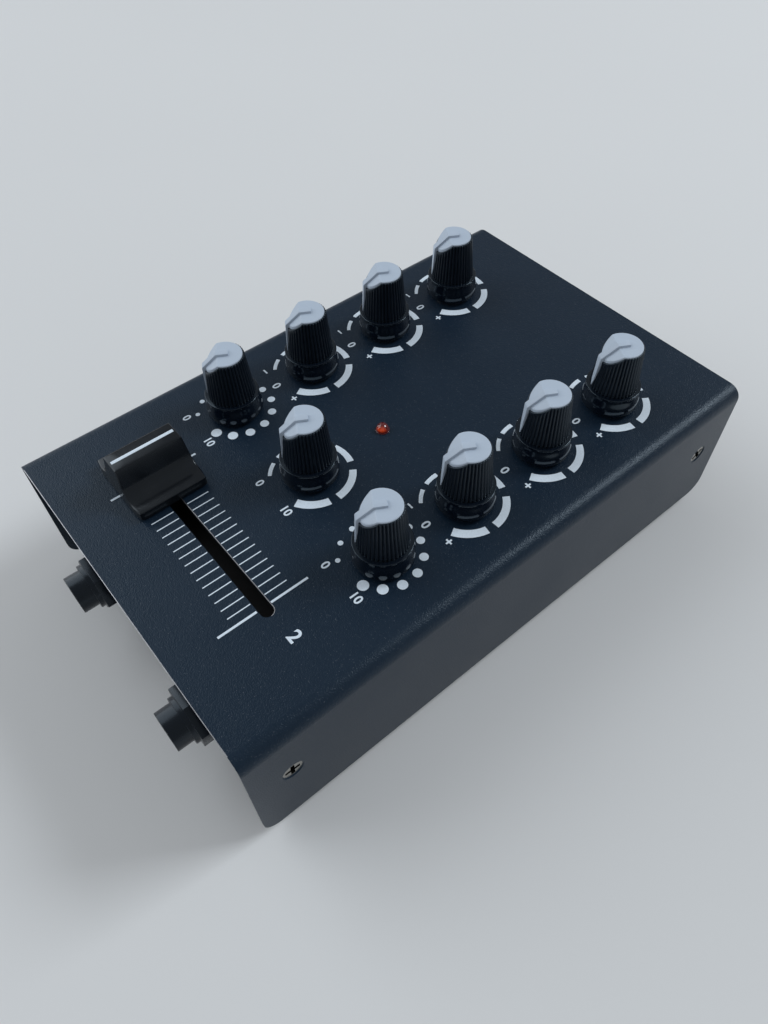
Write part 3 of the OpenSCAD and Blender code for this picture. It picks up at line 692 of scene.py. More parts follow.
def grow(name, tree, values, points=()):
    mesh = bpy.data.meshes.new(name)
    mesh.from_pydata([tuple(p) for p in points], [], [])
    carrier = add(name + "_carrier", mesh)
    modifier = carrier.modifiers.new("grow", "NODES")
    modifier.node_group = tree
    for item in tree.interface.items_tree:
        if item.in_out == "INPUT" and item.name in values:
            modifier[item.identifier] = values[item.name]
    made = plain_mesh(carrier)
    carrier.modifiers.clear()
    bpy.data.objects.remove(carrier)
    made.name = name
    return made


print("tree helpers ready")

# %% [markdown]
# ## Steps that the trees share
# The same few geometry nodes come back in every tree: a flat grid, a point's own place, a place
# on a circle, and copies of a shape set on points.


# %% Geometry helpers
def flat_grid(graph, across, deep):
    """A square of 1 by 1 round the origin, with so many points across and deep."""
    size = {"Size X": 1.0, "Size Y": 1.0}
    counts = {"Vertices X": across, "Vertices Y": deep}
    return graph.node("GeometryNodeMeshGrid", None, {**size, **counts}).out("Mesh")


def own_place(graph):
    return graph.split(graph.node("GeometryNodeInputPosition"))


def on_circle(graph, radius, angle, height=0.0):
    return graph.vector(radius * angle.math("COSINE"), radius * angle.math("SINE"), height)


def move_to(graph, geometry, place):
    return graph.node("GeometryNodeSetPosition", None, {"Geometry": geometry, "Position": place})


def set_on(graph, points, shape, scale=(1.0, 1.0, 1.0)):
    return graph.node("GeometryNodeInstanceOnPoints", None,
                      {"Points": points, "Instance": shape, "Scale": scale})


def join(graph, parts):
    joined = graph.node("GeometryNodeJoinGeometry")
    for part in parts:
        graph.tree.links.new(part.socket, joined.owner.inputs[0])
    return joined


def merge(graph, geometry, distance):
    return graph.node("GeometryNodeMergeByDistance", None, {"Geometry": geometry, "Distance": distance})


print("geometry helpers ready")

# %% [markdown]
# ## The knob's sizes
# All nine knobs are one shape: a skirt, a thin flange, and a tapered grip whose top is cut level
# and, in front, by a sloping facet. The sizes stand together here because the pieces below share
# them. Heights count from the cover's top.

# %% Knob sizes
SKIRT_R = 7.75 * MM
WAIST_R = 7.15 * MM
FLANGE_R = 7.4 * MM
BELL_Z = 3.2 * MM
FLANGE_Z = 6.6 * MM
GRIP_Z = 7.2 * MM
GRIP_R = 6.5 * MM
RIM_R = 5.4 * MM
RIM_Z = 19.9 * MM
TOP_Z = 20.3 * MM
FACET_X = 1.75 * MM
FACET_FALL = math.tan(math.radians(42))
RIBS = 40
RIB_DEPTH = 0.36 * MM
TAPER = (GRIP_R - RIM_R) / (RIM_Z - GRIP_Z)
REST_TURN = math.radians(240)
print("taper of the grip:", round(math.degrees(math.atan(TAPER)), 1), "degrees")

# %% [markdown]
# ## The ribbed grip
# Forty grooves could be carved one by one, but a rule is cleaner. One grid of points is wrapped
# round the axis: across it runs the angle, up it runs the height. Each rib is one arch of a
# sine, so the valleys stay sharp and the crests round. Under the facet the ribs fade into a
# smooth band, because the mould is turned there and not cut.

# %% Tree of the grip
RIB_POINTS = 8


def grip_tree():
    graph, _, given = new_tree("ribbed_grip", {
        "Ribs": RIBS, "Rows": 26, "Rib Depth": RIB_DEPTH, "Foot Radius": GRIP_R,
        "Foot Height": GRIP_Z, "Rim Height": RIM_Z, "Top Height": TOP_Z - 0.5 * MM, "Taper": TAPER,
        "Facet Start": FACET_X, "Facet Fall": FACET_FALL, "Rounding": 0.22 * MM, "Fade": 0.9 * MM})
    ribs, rows, depth, foot_r, foot_z, rim_z, top_z, taper, start, slope, rounding, fade = given
    grid = flat_grid(graph, ribs * RIB_POINTS + 1, rows)
    spot = own_place(graph)
    angle = (spot.out("X") + 0.5) * (2 * math.pi)
    row = (spot.out("Y") + 0.5) * (rows - 1)
    along = ((row - 1) / (rows - 3)).held()
    share = 1 - (1 - along) ** 2
    wall = (row > 0.5) * (row < rows - 1.5)
    fall = slope * angle.math("COSINE")
    reach = foot_r + taper * foot_z
    facet = (top_z + start * slope - reach * fall) / (1 - taper * fall)
    top = facet.math("MINIMUM", rim_z)
    height = foot_z + share * (top - foot_z)
    below = top - height
    near = (1 - below / rounding).held()
    shrink = rounding * (1 - (1 - near * near).math("SQRT"))
    sunk = ((rim_z - top) / fade).held()
    ribbed = (below / (rounding * 0.6 + fade * sunk) - sunk * 0.3).held()
    valley = 1 - (angle * ribs * 0.5).math("SINE").math("ABSOLUTE")
    radius = (foot_r - taper * (height - foot_z) - valley * depth * ribbed
              - depth * 0.3 * (1 - ribbed) - shrink)
    shape = move_to(graph, grid, on_circle(graph, radius * wall, angle, height))
    return end_tree(graph, merge(graph, shape, 0.001 * MM), knob_black)


grip_mesh = grow("grip", grip_tree(), {"Ribs": RIBS, "Rib Depth": RIB_DEPTH})
print("grip:", len(grip_mesh.polygons), "faces")

# %% [markdown]
# ## A lathe
# Skirt and power light are round things, so one line of points is turned round the axis, as on a
# lathe. `fillet` rounds a corner of that line, because a real edge is never quite sharp.

# %% Lathe
QUARTER = [math.radians(15 * i) for i in range(7)]


def turns(steps):
    return [2 * math.pi * i / steps for i in range(steps)]


def ring_of(bm, radius, height, steps):
    return [bm.verts.new((radius * math.cos(a), radius * math.sin(a), height)) for a in turns(steps)]


def lathe(bm, profile, steps=96):
    """Turn (radius, height) points round the Z axis."""
    rings = []
    for radius, height in profile:
        if radius == 0:
            rings.append([bm.verts.new((0, 0, height))] * steps)
        else:
            rings.append(ring_of(bm, radius, height, steps))
    for low, high in zip(rings, rings[1:]):
        for i in range(steps):
            face = list(dict.fromkeys((low[i - 1], low[i], high[i], high[i - 1])))
            if len(face) > 2:
                bm.faces.new(face)


def fillet(cx, cz, radius, start, end, steps=5):
    """Points of an arc in (radius, height), angles in degrees."""
    angles = [math.radians(start + (end - start) * i / steps) for i in range(steps + 1)]
    return [(cx + radius * math.cos(a), cz + radius * math.sin(a)) for a in angles]


print("lathe ready")

# %% [markdown]
# ## The skirt
# The skirt's lower wall is upright, its neck draws in along an S-shaped curve, and a thin flange
# on top stands out about a millimetre round the ribs. Every edge gets a small round, so that it
# catches a line of light.

# %% Skirt
FOOT_Z = 1.2 * MM
HOLLOW_R = 6.27 * MM
HOLLOW_Z = 4.4 * MM


def skirt_profile():
    edge = 0.55 * MM
    rim = 0.14 * MM
    bell = []
    for i in range(9):
        rise = i / 8
        radius = SKIRT_R - (SKIRT_R - WAIST_R) * rise * rise * (3 - 2 * rise)
        bell.append((radius, BELL_Z + rise * (FLANGE_Z - BELL_Z)))
    return [
        (0, HOLLOW_Z), (HOLLOW_R, HOLLOW_Z), (HOLLOW_R, FOOT_Z),
        *fillet(SKIRT_R - edge, FOOT_Z + edge, edge, -90, 0)[:-1],
        *bell,
        *fillet(FLANGE_R - rim, FLANGE_Z + rim, rim, -90, 0, 3),
        *fillet(FLANGE_R - rim, GRIP_Z - rim, rim, 0, 90, 4),
        (0, GRIP_Z),
    ]


print("skirt profile:", len(skirt_profile()), "points")

# %% [markdown]
# ## The light insert
# A second, light grey moulding is pressed into the grip's top. It keeps the same small distance
# from the grip's wall all round: over the disc and over the facet. It could be cut from a block,
# but a cut leaves a ragged rim. So it is made as a flat puck with a rounded edge, is cut along
# the bend so that the bend is crisp, and only then is tilted there.

# %% Light insert
MARGIN = 0.45 * MM
BEND = 0.16 * MM
PUCK_EDGE = 0.26 * MM
PUCK_WALL = 1.1 * MM
PUCK_UNDER = 1.6 * MM


def facet_height(turn):
    """Height at which the facet meets the grip's wall, at an angle from the pointer."""
    fall = FACET_FALL * math.cos(turn)
    return (TOP_Z + FACET_X * FACET_FALL - (GRIP_R + TAPER * GRIP_Z) * fall) / (1 - TAPER * fall)


def insert_edge(turn):
    """How far the insert reaches at an angle from the pointer."""
    return GRIP_R - TAPER * (min(facet_height(turn), RIM_Z) - GRIP_Z) - MARGIN


def insert_drop(x):
    """How far the facet lies under the disc, with a small round at the bend."""
    past = (x - FACET_X) / BEND
    if past <= -1:
        return 0.0
    if past >= 1:
        return (x - FACET_X) * FACET_FALL
    return BEND / 4 * FACET_FALL * (past + 1) ** 2


def puck_loops(steps):
    """Loops of (radius, drop, angle) points, from near the middle over the edge to the wall."""
    loops = []
    for share in (0.3, 0.6, 0.85):
        loops.append([(share * (insert_edge(t) - PUCK_EDGE), 0.0, t) for t in turns(steps)])
    for a in QUARTER:
        inset, drop = PUCK_EDGE * (1 - math.sin(a)), PUCK_EDGE * (1 - math.cos(a))
        loops.append([(insert_edge(t) - inset, drop, t) for t in turns(steps)])
    loops.append([(insert_edge(t), PUCK_WALL, t) for t in turns(steps)])
    return loops


def light_insert(bm, steps=128):
    centre = bm.verts.new((0, 0, TOP_Z))
    under = bm.verts.new((0, 0, TOP_Z - PUCK_UNDER))
    rings = []
    for loop in puck_loops(steps):
        spots = [(r * math.cos(t), r * math.sin(t), TOP_Z - drop) for r, drop, t in loop]
        rings.append([bm.verts.new(spot) for spot in spots])
    for i in range(steps):
        bm.faces.new((centre, rings[0][i - 1], rings[0][i]))
        bm.faces.new((under, rings[-1][i], rings[-1][i - 1]))
        for inner, outer in zip(rings, rings[1:]):
            bm.faces.new((inner[i - 1], outer[i - 1], outer[i], inner[i]))
    for past in (-1, -0.5, 0, 0.5, 1):
        parts = list(bm.verts) + list(bm.edges) + list(bm.faces)
        cut = (FACET_X + past * BEND, 0, 0)
        bmesh.ops.bisect_plane(bm, geom=parts, dist=1e-7, plane_co=cut, plane_no=(1, 0, 0))
    for vert in bm.verts:
        vert.co.z -= insert_drop(vert.co.x)


print("facet meets the wall at", round(facet_height(0) / MM, 2), "mm")

# %% [markdown]
# ## The pointer bar
# On the insert stands the pointer. It starts just behind the middle, runs level, bends down with
# the facet, stands out over the wall as a sharp shoulder and runs down the ribs to a point. Its
# long edges are only just rounded, so that each side keeps its own tone. Stations are in
# millimetres: (x, z, half width) along the crest and (x, z) along the root.

# %% Pointer bar
CREST = [(-1.25, 21.0, 1.0), (2.02, 21.0, 1.0), (6.0, 17.35, 0.98), (6.13, 17.05, 0.96),
         (6.46, 9.9, 0.66), (6.6, 7.7, 0.1)]
ROOT = [(-1.25, 19.8), (1.5, 19.8), (4.9, 16.4), (5.0, 16.0), (5.6, 9.9), (6.0, 7.7)]
ROOT_SPREAD = 1.04


def pointer_side(bm, side):
    """Pairs of points, crest and root, along one side."""
    row = []
    for (x, z, half), (root_x, root_z) in zip(CREST, ROOT):
        top = bm.verts.new((x * MM, side * half * MM, z * MM))
        foot = bm.verts.new((root_x * MM, side * half * MM * ROOT_SPREAD, root_z * MM))
        row.append((top, foot))
    return row


def pointer_bar(bm):
    left, right = pointer_side(bm, 1), pointer_side(bm, -1)
    long_edges = [(left[0][0], right[0][0])]
    for (la, lb), (ra, rb) in zip(zip(left, left[1:]), zip(right, right[1:])):
        bm.faces.new((la[0], lb[0], rb[0], ra[0]))
        bm.faces.new((la[1], ra[1], rb[1], lb[1]))
        bm.faces.new((la[0], la[1], lb[1], lb[0]))
        bm.faces.new((ra[0], rb[0], rb[1], ra[1]))
        long_edges += [(la[0], lb[0]), (ra[0], rb[0])]
    bm.faces.new((left[0][0], right[0][0], right[0][1], left[0][1]))
    bm.faces.new((left[-1][0], left[-1][1], right[-1][1], right[-1][0]))
    bmesh.ops.recalc_face_normals(bm, faces=bm.faces)
    round_edges(bm, [bm.edges.get(pair) for pair in long_edges], 0.12 * MM, 3)


print("pointer bar:", len(CREST), "stations")

# %% [markdown]
# ## Nine knobs
# The black body and the grey insert are two pieces on each dial, because they are two mouldings.
# Both are made once, turned to the dial's lowest setting and copied to each place.


# %% Place the nine knobs
def knob_meshes():
    body = bmesh.new()
    lathe(body, skirt_profile())
    tidy(body)
    body.from_mesh(grip_mesh)
    bmesh.ops.recalc_face_normals(body, faces=body.faces)
    bar = bmesh.new()
    pointer_bar(bar)
    insert = bmesh.new()
    light_insert(insert)
    insert.from_mesh(to_mesh(bar, "bar"))
    bmesh.ops.recalc_face_normals(insert, faces=insert.faces)
    return to_mesh(body, "knob_body"), to_mesh(insert, "knob_insert")


body_mesh, insert_mesh = knob_meshes()
MOULDINGS = [(body_mesh, "knob", knob_black, "knob_black", 50),
             (insert_mesh, "pointer", pointer_grey, "pointer_grey", 24)]
for dial in DIALS:
    place = Matrix.Translation(over(dial + "_shaft")) @ Matrix.Rotation(REST_TURN, 4, "Z")
    for source, kind, material, slot, angle in MOULDINGS:
        mesh = source.copy()
        mesh.transform(place)
        shade(mesh, angle)
        piece(f"{dial}_{kind}_moulding", mesh, material, dial + "_dial", [f"{dial}_{kind}"])
print("knobs placed:", len(DIALS))

# %% [markdown]
# ## The crossfader cap
# The cap is one moulding: a ridge for the thumb, between two finger scoops with a flat floor.
# Its front and rear walls lean in a little towards the top. Cut across X it is always the same
# round-cornered block and only its height changes. So no block is carved: it is built as a row
# of cross-sections from the left edge to the right one. Its sizes are in millimetres.

# %% Crossfader cap
CAP_W, CAP_D, CAP_H, CAP_FOOT = 23.4, 18.5, 11.7, 0.8
CAP_FLARE, CAP_CORNER, CAP_EDGE = 0.75, 1.3, 0.4
CAP_LIP, CAP_CREST = 0.25, 0.45
RIDGE_HALF, RIDGE_LEAN = 3.15, 14
SCOOP_R, SCOOP_Z = 4.5, 3.3


def cap_line():
    """Half of the cap's front view, from its outer edge to the ridge: (x, top)."""
    half, lip_z = CAP_W / 2, SCOOP_Z - CAP_LIP
    lean = math.radians(RIDGE_LEAN)
    middle_z = SCOOP_Z + SCOOP_R
    middle_x = RIDGE_HALF + SCOOP_R / math.cos(lean) + (CAP_H - middle_z) * math.tan(lean)
    crest_x = RIDGE_HALF - CAP_CREST / math.tan(math.radians(45 + RIDGE_LEAN / 2))
    points = [(half, CAP_FOOT), (half, lip_z)]
    points += fillet(half - CAP_LIP, lip_z, CAP_LIP, 15, 90)
    points += fillet(middle_x, middle_z, SCOOP_R, 270, 180 + RIDGE_LEAN, 12)
    points += fillet(crest_x, CAP_H - CAP_CREST, CAP_CREST, RIDGE_LEAN, 90, 4)
    return points


def cap_section(x, top):
    """Points of one cross-section in (y, z), walked from the front foot to the rear foot."""
    foot_half = CAP_D / 2 + CAP_FLARE
    past = max(0.0, abs(x) - (CAP_W / 2 - CAP_CORNER))
    plan = foot_half - CAP_CORNER + math.sqrt(max(0.0, CAP_CORNER ** 2 - past ** 2))
    round_off = min(CAP_EDGE, max(0.0, (top - CAP_FOOT) * 0.5))
    side = [(plan, CAP_FOOT)]
    for a in QUARTER:
        z = top - round_off * (1 - math.sin(a))
        wall = foot_half - CAP_FLARE * (z - CAP_FOOT) / (CAP_H - CAP_FOOT)
        side.append((min(plan, wall) - round_off * (1 - math.cos(a)), z))
    side += [(plan * share, top) for share in (0.6, 0.3)]
    return [(-y, z) for y, z in side] + [(0.0, top)] + side[::-1]


def cap_mesh(centre):
    line = cap_line()
    bm = bmesh.new()
    rows = []
    for x, top in [(-x, z) for x, z in line] + line[::-1]:
        rows.append([bm.verts.new((x * MM, y * MM, z * MM)) for y, z in cap_section(x, top)])
    for first, second in zip(rows, rows[1:]):
        for i in range(len(first) - 1):
            bm.faces.new((first[i], first[i + 1], second[i + 1], second[i]))
        bm.faces.new((first[-1], first[0], second[0], second[-1]))
    bm.faces.new(rows[0])
    bm.faces.new(rows[-1])
    bmesh.ops.dissolve_degenerate(bm, edges=bm.edges, dist=1e-7)
    tidy(bm, 1e-6)
    return placed(bm, "fader_cap", centre, 38)


CAP_CENTRE = over("crossfader_cap")
piece("fader_cap", cap_mesh(CAP_CENTRE), cap_black, "crossfader", ["crossfader_cap"])
print("cap at", [round(v / MM, 1) for v in CAP_CENTRE])

# %% [markdown]
# ## The cap's white line
# A strip of white plastic is let into the ridge and shows the fader's place. It stands a hair
# above the ridge, with its edges broken, so a small cube with a bevel is all it takes.

# %% Cap's white line
LINE_SIZE = (1.0 * MM, 17.4 * MM, 0.3 * MM)
LINE_Z = 11.58 * MM


def strip_mesh(size, centre, edge):
    bm = bmesh.new()
    bmesh.ops.create_cube(bm, size=1.0)
    bmesh.ops.scale(bm, vec=size, verts=bm.verts)
    round_edges(bm, list(bm.edges), edge, 2)
    return placed(bm, "strip", centre)


line_mesh = strip_mesh(LINE_SIZE, CAP_CENTRE + Vector((0, 0, LINE_Z)), 0.06 * MM)
piece("fader_cap_line", line_mesh, print_white, "crossfader")
print("cap line inlaid")

# %% [markdown]
# ## The power light
# A 3 mm lamp pokes through the cover and shows a thin collar and a round dome. It is turned from
# one line, like the skirt, and its own recipe colours it. Heights count from the cover's top.

# %% Power light
DOME_R, DOME_Z = 1.76 * MM, 0.4 * MM
COLLAR_R, COLLAR_Z, COLLAR_EDGE = 1.84 * MM, 0.15 * MM, 0.1 * MM
NOTCH = (1.78 * MM, 0.22 * MM)
STEM_R, STEM_FOOT, STEM_TOP = 1.45 * MM, -4 * MM, 0.05 * MM


def lamp_profile():
    stem = [(0, STEM_FOOT), (STEM_R, STEM_FOOT), (STEM_R, STEM_TOP)]
    collar = fillet(COLLAR_R, COLLAR_Z, COLLAR_EDGE, -90, 90, 6)
    dome = fillet(0, DOME_Z, DOME_R, 0, 90, 8)[:-1]
    return [*stem, *collar, NOTCH, *dome, (0, DOME_Z + DOME_R)]


light = bmesh.new()
lathe(light, lamp_profile(), 48)
tidy(light)
light_mesh = placed(light, "power_lamp", over("power_light"))
piece("power_lamp", light_mesh, light_red, "case", ["power_light"])
print("lamp:", len(light_mesh.polygons), "faces")

# %% [markdown]
# ## Printed rings
# Round each tone dial runs a ring of six strokes that grow from hair-thin to bold. A picture of
# the print would blur close up, so the ink is a real film. The tree bends a flat strip for each
# stroke: across it runs the angle, over it the thickness. The strokes are then set on every
# point of the carrier, one point for each dial. Two dials have their print a little off centre.

# %% Ring of strokes
INK_THICK = 0.03 * MM
STROKES = [(234, 211), (200, 178), (166, 123), (110, 73), (57, 3), (-10.5, -60)]
RING_START, RING_END = STROKES[0][0], STROKES[-1][1]
RING_R = 11.6 * MM
OFF_CENTRE = {"headphone": (-0.85, 0.2), "master": (0.3, 0.3)}
RINGED = [dial for dial in DIALS if dial not in ("mic", "headphone")]


def stroke(graph, sizes, start, end):
    """One bent strip between two angles in degrees."""
    ring_r, thin, bold = sizes
    spot = own_place(graph)
    degrees = (spot.out("X") + 0.5) * (end - start) + start
    share = (RING_START - degrees) / (RING_START - RING_END)
    thick = thin + (bold - thin) * share
    radius = ring_r - thick * (0.5 - spot.out("Y"))
    return move_to(graph, flat_grid(graph, 24, 2), on_circle(graph, radius, degrees * (math.pi / 180)))


def end_print(graph, flat, film, points):
    """Make flat ink a closed film, set it on the carrier's points and end the tree."""
    flat = graph.node("GeometryNodeRealizeInstances", None, {0: flat})
    up = {"Offset": graph.vector(0.0, 0.0, 1.0), "Offset Scale": film, "Individual": False}
    raised = graph.node("GeometryNodeExtrudeMesh", {"mode": "FACES"}, {"Mesh": flat, **up})
    under = graph.node("GeometryNodeFlipFaces", None, {"Mesh": flat})
    closed = merge(graph, join(graph, (raised, under)), 0.002 * MM)
    return end_tree(graph, set_on(graph, points, closed), print_white)


def ring_tree():
    graph, points, (*sizes, film) = new_tree("stroke_ring", {
        "Radius": RING_R, "Thin": 1.0 * MM, "Bold": 2.5 * MM, "Film": INK_THICK})
    strokes = [stroke(graph, sizes, start, end) for start, end in STROKES]
    return end_print(graph, join(graph, strokes), film, points)


def dial_spot(dial):
    return over(dial + "_shaft", OFF_CENTRE.get(dial, (0, 0)))


def printed(name, mesh):
    """Make a piece of the print, which is part of the paint."""
    piece(name, mesh, print_white, "case")
    print(name, "has", len(mesh.polygons), "faces")


spots = [dial_spot(dial) for dial in RINGED]
printed("printed_rings", grow("stroke_rings", ring_tree(), {"Radius": RING_R}, spots))

# %% [markdown]
# ## Printed dots
# The two listening dials have a ring of dots instead. The dots touch one circle with their outer
# sides while they grow, so each centre moves in by its own radius.


# %% Ring of dots
def dot_tree():
    graph, points, (ring_r, count, first, last, start, step, film) = new_tree("dot_ring", {
        "Radius": 11.35 * MM, "Dots": 12, "First Size": 1.3 * MM, "Last Size": 2.95 * MM,
        "First Angle": math.radians(240), "Step": math.radians(27.8), "Film": INK_THICK})
    line = graph.node("GeometryNodeMeshLine", None, {"Count": count})
    index = graph.node("GeometryNodeInputIndex")
    size = first + (last - first) * (index / (count - 1))
    spots = move_to(graph, line, on_circle(graph, ring_r - size * 0.5, start - index * step))
    disc = graph.node("GeometryNodeMeshCircle", {"fill_type": "NGON"}, {"Vertices": 32, "Radius": 0.5})
    return end_print(graph, set_on(graph, spots, disc, graph.vector(size, size, 1.0)), film, points)


spots = [dial_spot("mic"), dial_spot("headphone")]
printed("printed_dots", grow("dot_rings", dot_tree(), {"Dots": 12}, spots))

# %% [markdown]
# ## The crossfader's scale
# Fine ticks run along both sides of the slot, with a longer and bolder one at each end of the
# travel. One row of ticks is set along a line, and the same rule sets the row on the other side.

# %% Scale of ticks
TRAVEL = 51.2 * MM
TICKS = 20


def tick_row(graph, sizes, side):
    ticks, travel, inner, short, long, fine, broad = sizes
    line = graph.node("GeometryNodeMeshLine", None, {"Count": ticks})
    index = graph.node("GeometryNodeInputIndex")
    last = ticks - 1
    is_end = (index < 0.5).math("MAXIMUM", index > last - 0.5)
    outer = short + (long - short) * is_end
    width = fine + (broad - fine) * is_end
    spot = graph.vector((index / last - 0.5) * travel, (inner + outer) * (0.5 * side), 0.0)
    size = graph.vector(width, outer - inner, 1.0)
    return set_on(graph, move_to(graph, line, spot), flat_grid(graph, 2, 2), size)


def tick_tree():
    graph, points, (*sizes, film) = new_tree("fader_scale", {
        "Ticks": TICKS, "Travel": TRAVEL, "Inner": 1.98 * MM, "Short": 8.25 * MM, "Long": 12.5 * MM,
        "Fine": 0.29 * MM, "Broad": 0.62 * MM, "Film": INK_THICK})
    rows = [tick_row(graph, sizes, side) for side in (-1, 1)]
    return end_print(graph, join(graph, rows), film, points)


spots = [(0, CAP_CENTRE.y, COVER_TOP)]
printed("printed_scale", grow("fader_scale", tick_tree(), {"Ticks": TICKS}, spots))

# %% [markdown]
# ## Bright edges
# The sheet is punched, and the coat runs thin along a cut edge, so that a hair of metal shines
# there: at the rear of the fader's slot and along the cover's front edge. A fine three-sided bead
# is swept along a path. Each point of the path has a place and the way that points off the edge.

# %% Edge beads
BEAD = [(-0.04 * MM, -0.2 * MM), (-0.04 * MM, 0.01 * MM), (0.12 * MM, 0.01 * MM)]
SLOT_HALF_LENGTH, SLOT_HALF_WIDTH = 28.6 * MM, 1.75 * MM
FRONT_Y, FRONT_HALF = -84.5 * MM, 50 * MM


def edge_bead(bm, path):
    """Sweep the bead along (x, y, cosine, sine) points; cosine and sine point off the edge."""
    rows = []
    for x, y, c, s in path:
        rows.append([bm.verts.new((x + out * c, y + out * s, COVER_TOP + z)) for out, z in BEAD])
    for first, second in zip(rows, rows[1:]):
        wall_between(bm, first, second)
    bm.faces.new(rows[0])
    bm.faces.new(rows[-1])


def slot_path():
    path = []
    for end, start in ((1, 0), (-1, 90)):
        for step in range(7):
            a = math.radians(start + 15 * step)
            c, s = math.cos(a), math.sin(a)
            x = end * (SLOT_HALF_LENGTH - SLOT_HALF_WIDTH) + SLOT_HALF_WIDTH * c
            path.append((x, CAP_CENTRE.y + SLOT_HALF_WIDTH * s, c, s))
    return path


beads = bmesh.new()
edge_bead(beads, slot_path())
edge_bead(beads, [(x, FRONT_Y, 0, 1) for x in (-FRONT_HALF, FRONT_HALF)])
tidy(beads)
beads_mesh = to_mesh(beads, "edge_beads")
piece("cover_edges", beads_mesh, bare_steel, "case")
print("bright edges:", len(beads_mesh.polygons), "faces")

# %% [markdown]
# ## Plain marks
# A minus, a nought and a plus stand by each tone dial, 0 and 10 by each level dial, and 1 and 2
# at the ends of the crossfader. A font curve is the simplest source of a numeral. It is made a
# mesh first, and only then takes its place. Places are in millimetres.

# %% Marks
TONE_MARKS = {"−": (-7.6, -11.8), "0": (-0.6, -12.6), "+": (6.9, -11.8)}
LEVEL_MARKS = {"0": (-6.2, -12.4), "10": (5.6, -12.4)}
FADER_MARKS = {"1": (-35.4, -58.2), "2": (36.3, -58.2)}
DIGIT_SHARE = 0.7


def mark(text, height, x, y):
    curve = bpy.data.curves.new("mark", "FONT")
    curve.body = text
    curve.size = height / DIGIT_SHARE
    curve.align_x = "CENTER"
    curve.align_y = "CENTER"
    curve.offset = 0.035 * height
    curve.extrude = INK_THICK / 2
    holder = add("mark", curve)
    mesh = plain_mesh(holder)
    bpy.data.objects.remove(holder)
    mesh.transform(Matrix.Translation((x * MM, y * MM, COVER_TOP + INK_THICK / 2)))
    return mesh


def print_marks(bm, places, height, origin_x=0.0, origin_y=0.0):
    for text, (x, y) in places.items():
        bm.from_mesh(mark(text, height, origin_x + x, origin_y + y))


marks = bmesh.new()
for dial in DIALS:
    spot = dial_spot(dial) / MM
    if dial in ("mic", "master", "headphone"):
        print_marks(marks, LEVEL_MARKS, 2.3 * MM, spot.x, spot.y)
    else:
        print_marks(marks, TONE_MARKS, 2.5 * MM, spot.x, spot.y)
print_marks(marks, FADER_MARKS, 3.4 * MM)
tidy(marks)
printed("printed_marks", to_mesh(marks, "marks"))

# %% [markdown]
# ## Screws
# Four countersunk screws hold the cover and three round ones the phono blocks. The cross could
# be cut out, but a cut leaves thin faces. Instead a cross is drawn in the head, and the ring
# between it and the rim is filled; then the cross is sunk deep, with walls that lean in to a
# small bottom. The layer "hollow" marks the recess for the grime and painted shade.

# %% Screw heads
HEAD_STEPS = 48
CROSS_REACH, CROSS_HALF = 0.74, 0.2
RECESS = [(0.86, -0.9 * MM), (0.4, -1.6 * MM)]


def cross_outline(reach, half):
    """Twelve corners of a plus sign."""
    corners = []
    for quarter in range(4):
        turn = Matrix.Rotation(quarter * math.pi / 2, 2)
        for point in ((reach, -half), (reach, half), (half, half)):
            corners.append(turn @ Vector(point))
    return corners


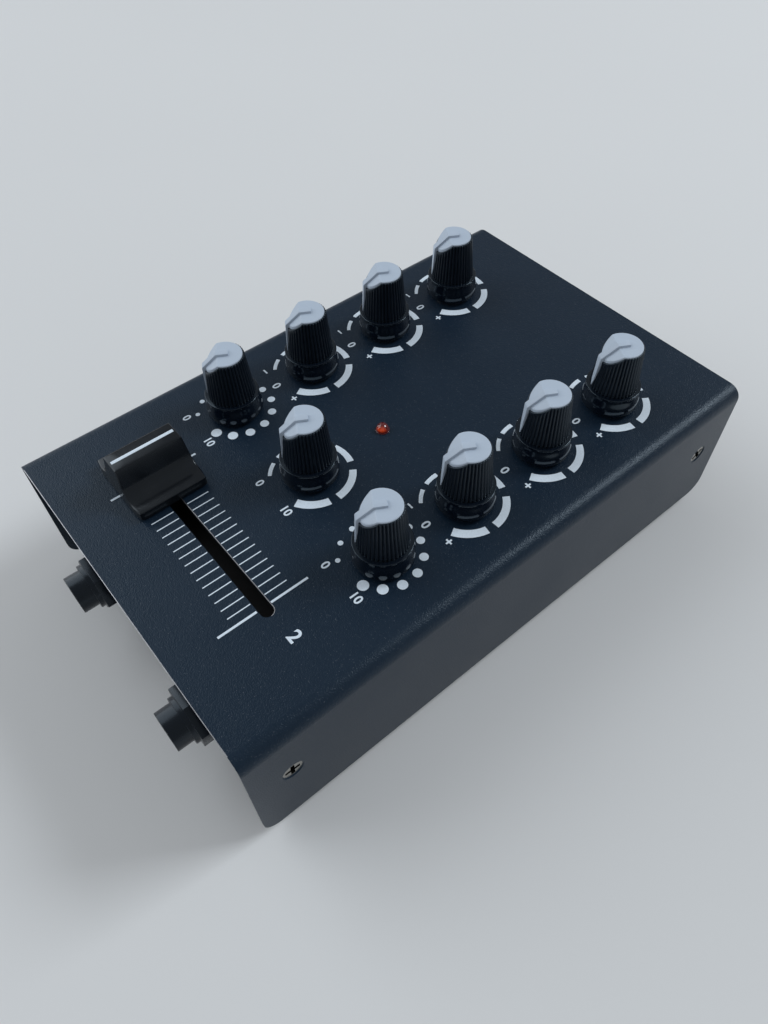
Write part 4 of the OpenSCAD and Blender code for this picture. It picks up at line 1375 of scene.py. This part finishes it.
def screw_mesh(profile, face_r, dome):
    """A screw along +Z with its face at z = 0; profile runs from the rim down the shank."""
    bm = bmesh.new()
    below = ring_of(bm, face_r, -dome, HEAD_STEPS)
    outline = cross_outline(face_r * CROSS_REACH, face_r * CROSS_HALF)
    cross = [bm.verts.new((p.x, p.y, 0)) for p in outline]
    edges = [bm.edges.new((ring[i - 1], ring[i])) for ring in (below, cross) for i in range(len(ring))]
    bmesh.ops.triangle_fill(bm, edges=edges, use_beauty=True)
    levels = [cross]
    for share, depth in RECESS:
        levels.append([bm.verts.new((v.co.x * share, v.co.y * share, depth)) for v in cross])
    hollow = bm.loops.layers.float_color.new("hollow")
    recess = {bm.faces.new(levels[-1])}
    for upper, lower in zip(levels, levels[1:]):
        recess.update(wall_between(bm, upper, lower))
    for radius, height in profile:
        ring = ring_of(bm, radius, height, HEAD_STEPS)
        wall_between(bm, below, ring)
        below = ring
    bm.faces.new(below)
    for face in bm.faces:
        # Recess faces get 1, where grime and painted shade darken the cross.
        dark = 1.0 if face in recess else 0.0
        for loop in face.loops:
            loop[hollow] = (dark, dark, dark, 1)
    bmesh.ops.recalc_face_normals(bm, faces=bm.faces)
    return to_mesh(bm, "screw")


flat_profile = [(2.85 * MM, -0.14 * MM), (2.85 * MM, -0.26 * MM), (1.5 * MM, -1.6 * MM),
                (1.5 * MM, -6 * MM)]
round_profile = [(2.5 * MM, -0.3 * MM), (2.5 * MM, -1.4 * MM), (1.5 * MM, -1.4 * MM),
                 (1.5 * MM, -7.4 * MM)]
flat_head = screw_mesh(flat_profile, 2.72 * MM, 0.04 * MM)
round_head = screw_mesh(round_profile, 2.3 * MM, 0.1 * MM)
print("screw heads:", len(flat_head.polygons), "and", len(round_head.polygons), "faces")

# %% [markdown]
# ## Seven screws in place
# The case screws sit a little under the cover's sides, and each was stopped at its own angle.
# The others stand on the face of their socket block. They are copies of the two heads.

# %% Place the screws
SCREW_X, SCREW_Y, SCREW_Z = 53.74 * MM, 73.5 * MM, 26.7 * MM
BLOCK_FACE_Y = 83.4 * MM


def drive(bm, head, place):
    one = head.copy()
    one.transform(place)
    bm.from_mesh(one)


screws = bmesh.new()
for side in (-1, 1):
    for end in (-1, 1):
        spin = Matrix.Rotation(0.35 + 0.7 * side + 1.1 * end, 4, "Z")
        spot = Matrix.Translation((side * SCREW_X, end * SCREW_Y, SCREW_Z))
        drive(screws, flat_head, spot @ Matrix.Rotation(side * math.pi / 2, 4, "Y") @ spin)
for block in SOCKET_BLOCKS:
    low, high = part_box(block)
    spot = Matrix.Translation(((low.x + high.x) / 2, BLOCK_FACE_Y, (low.z + high.z) / 2))
    drive(screws, round_head, spot @ Matrix.Rotation(-math.pi / 2, 4, "X"))
screws_mesh = to_mesh(screws, "screws")
shade(screws_mesh, 30)
piece("cross_head_screws", screws_mesh, nickel, "case", ["case_screws"])
print("screws:", len(screws_mesh.polygons), "faces")
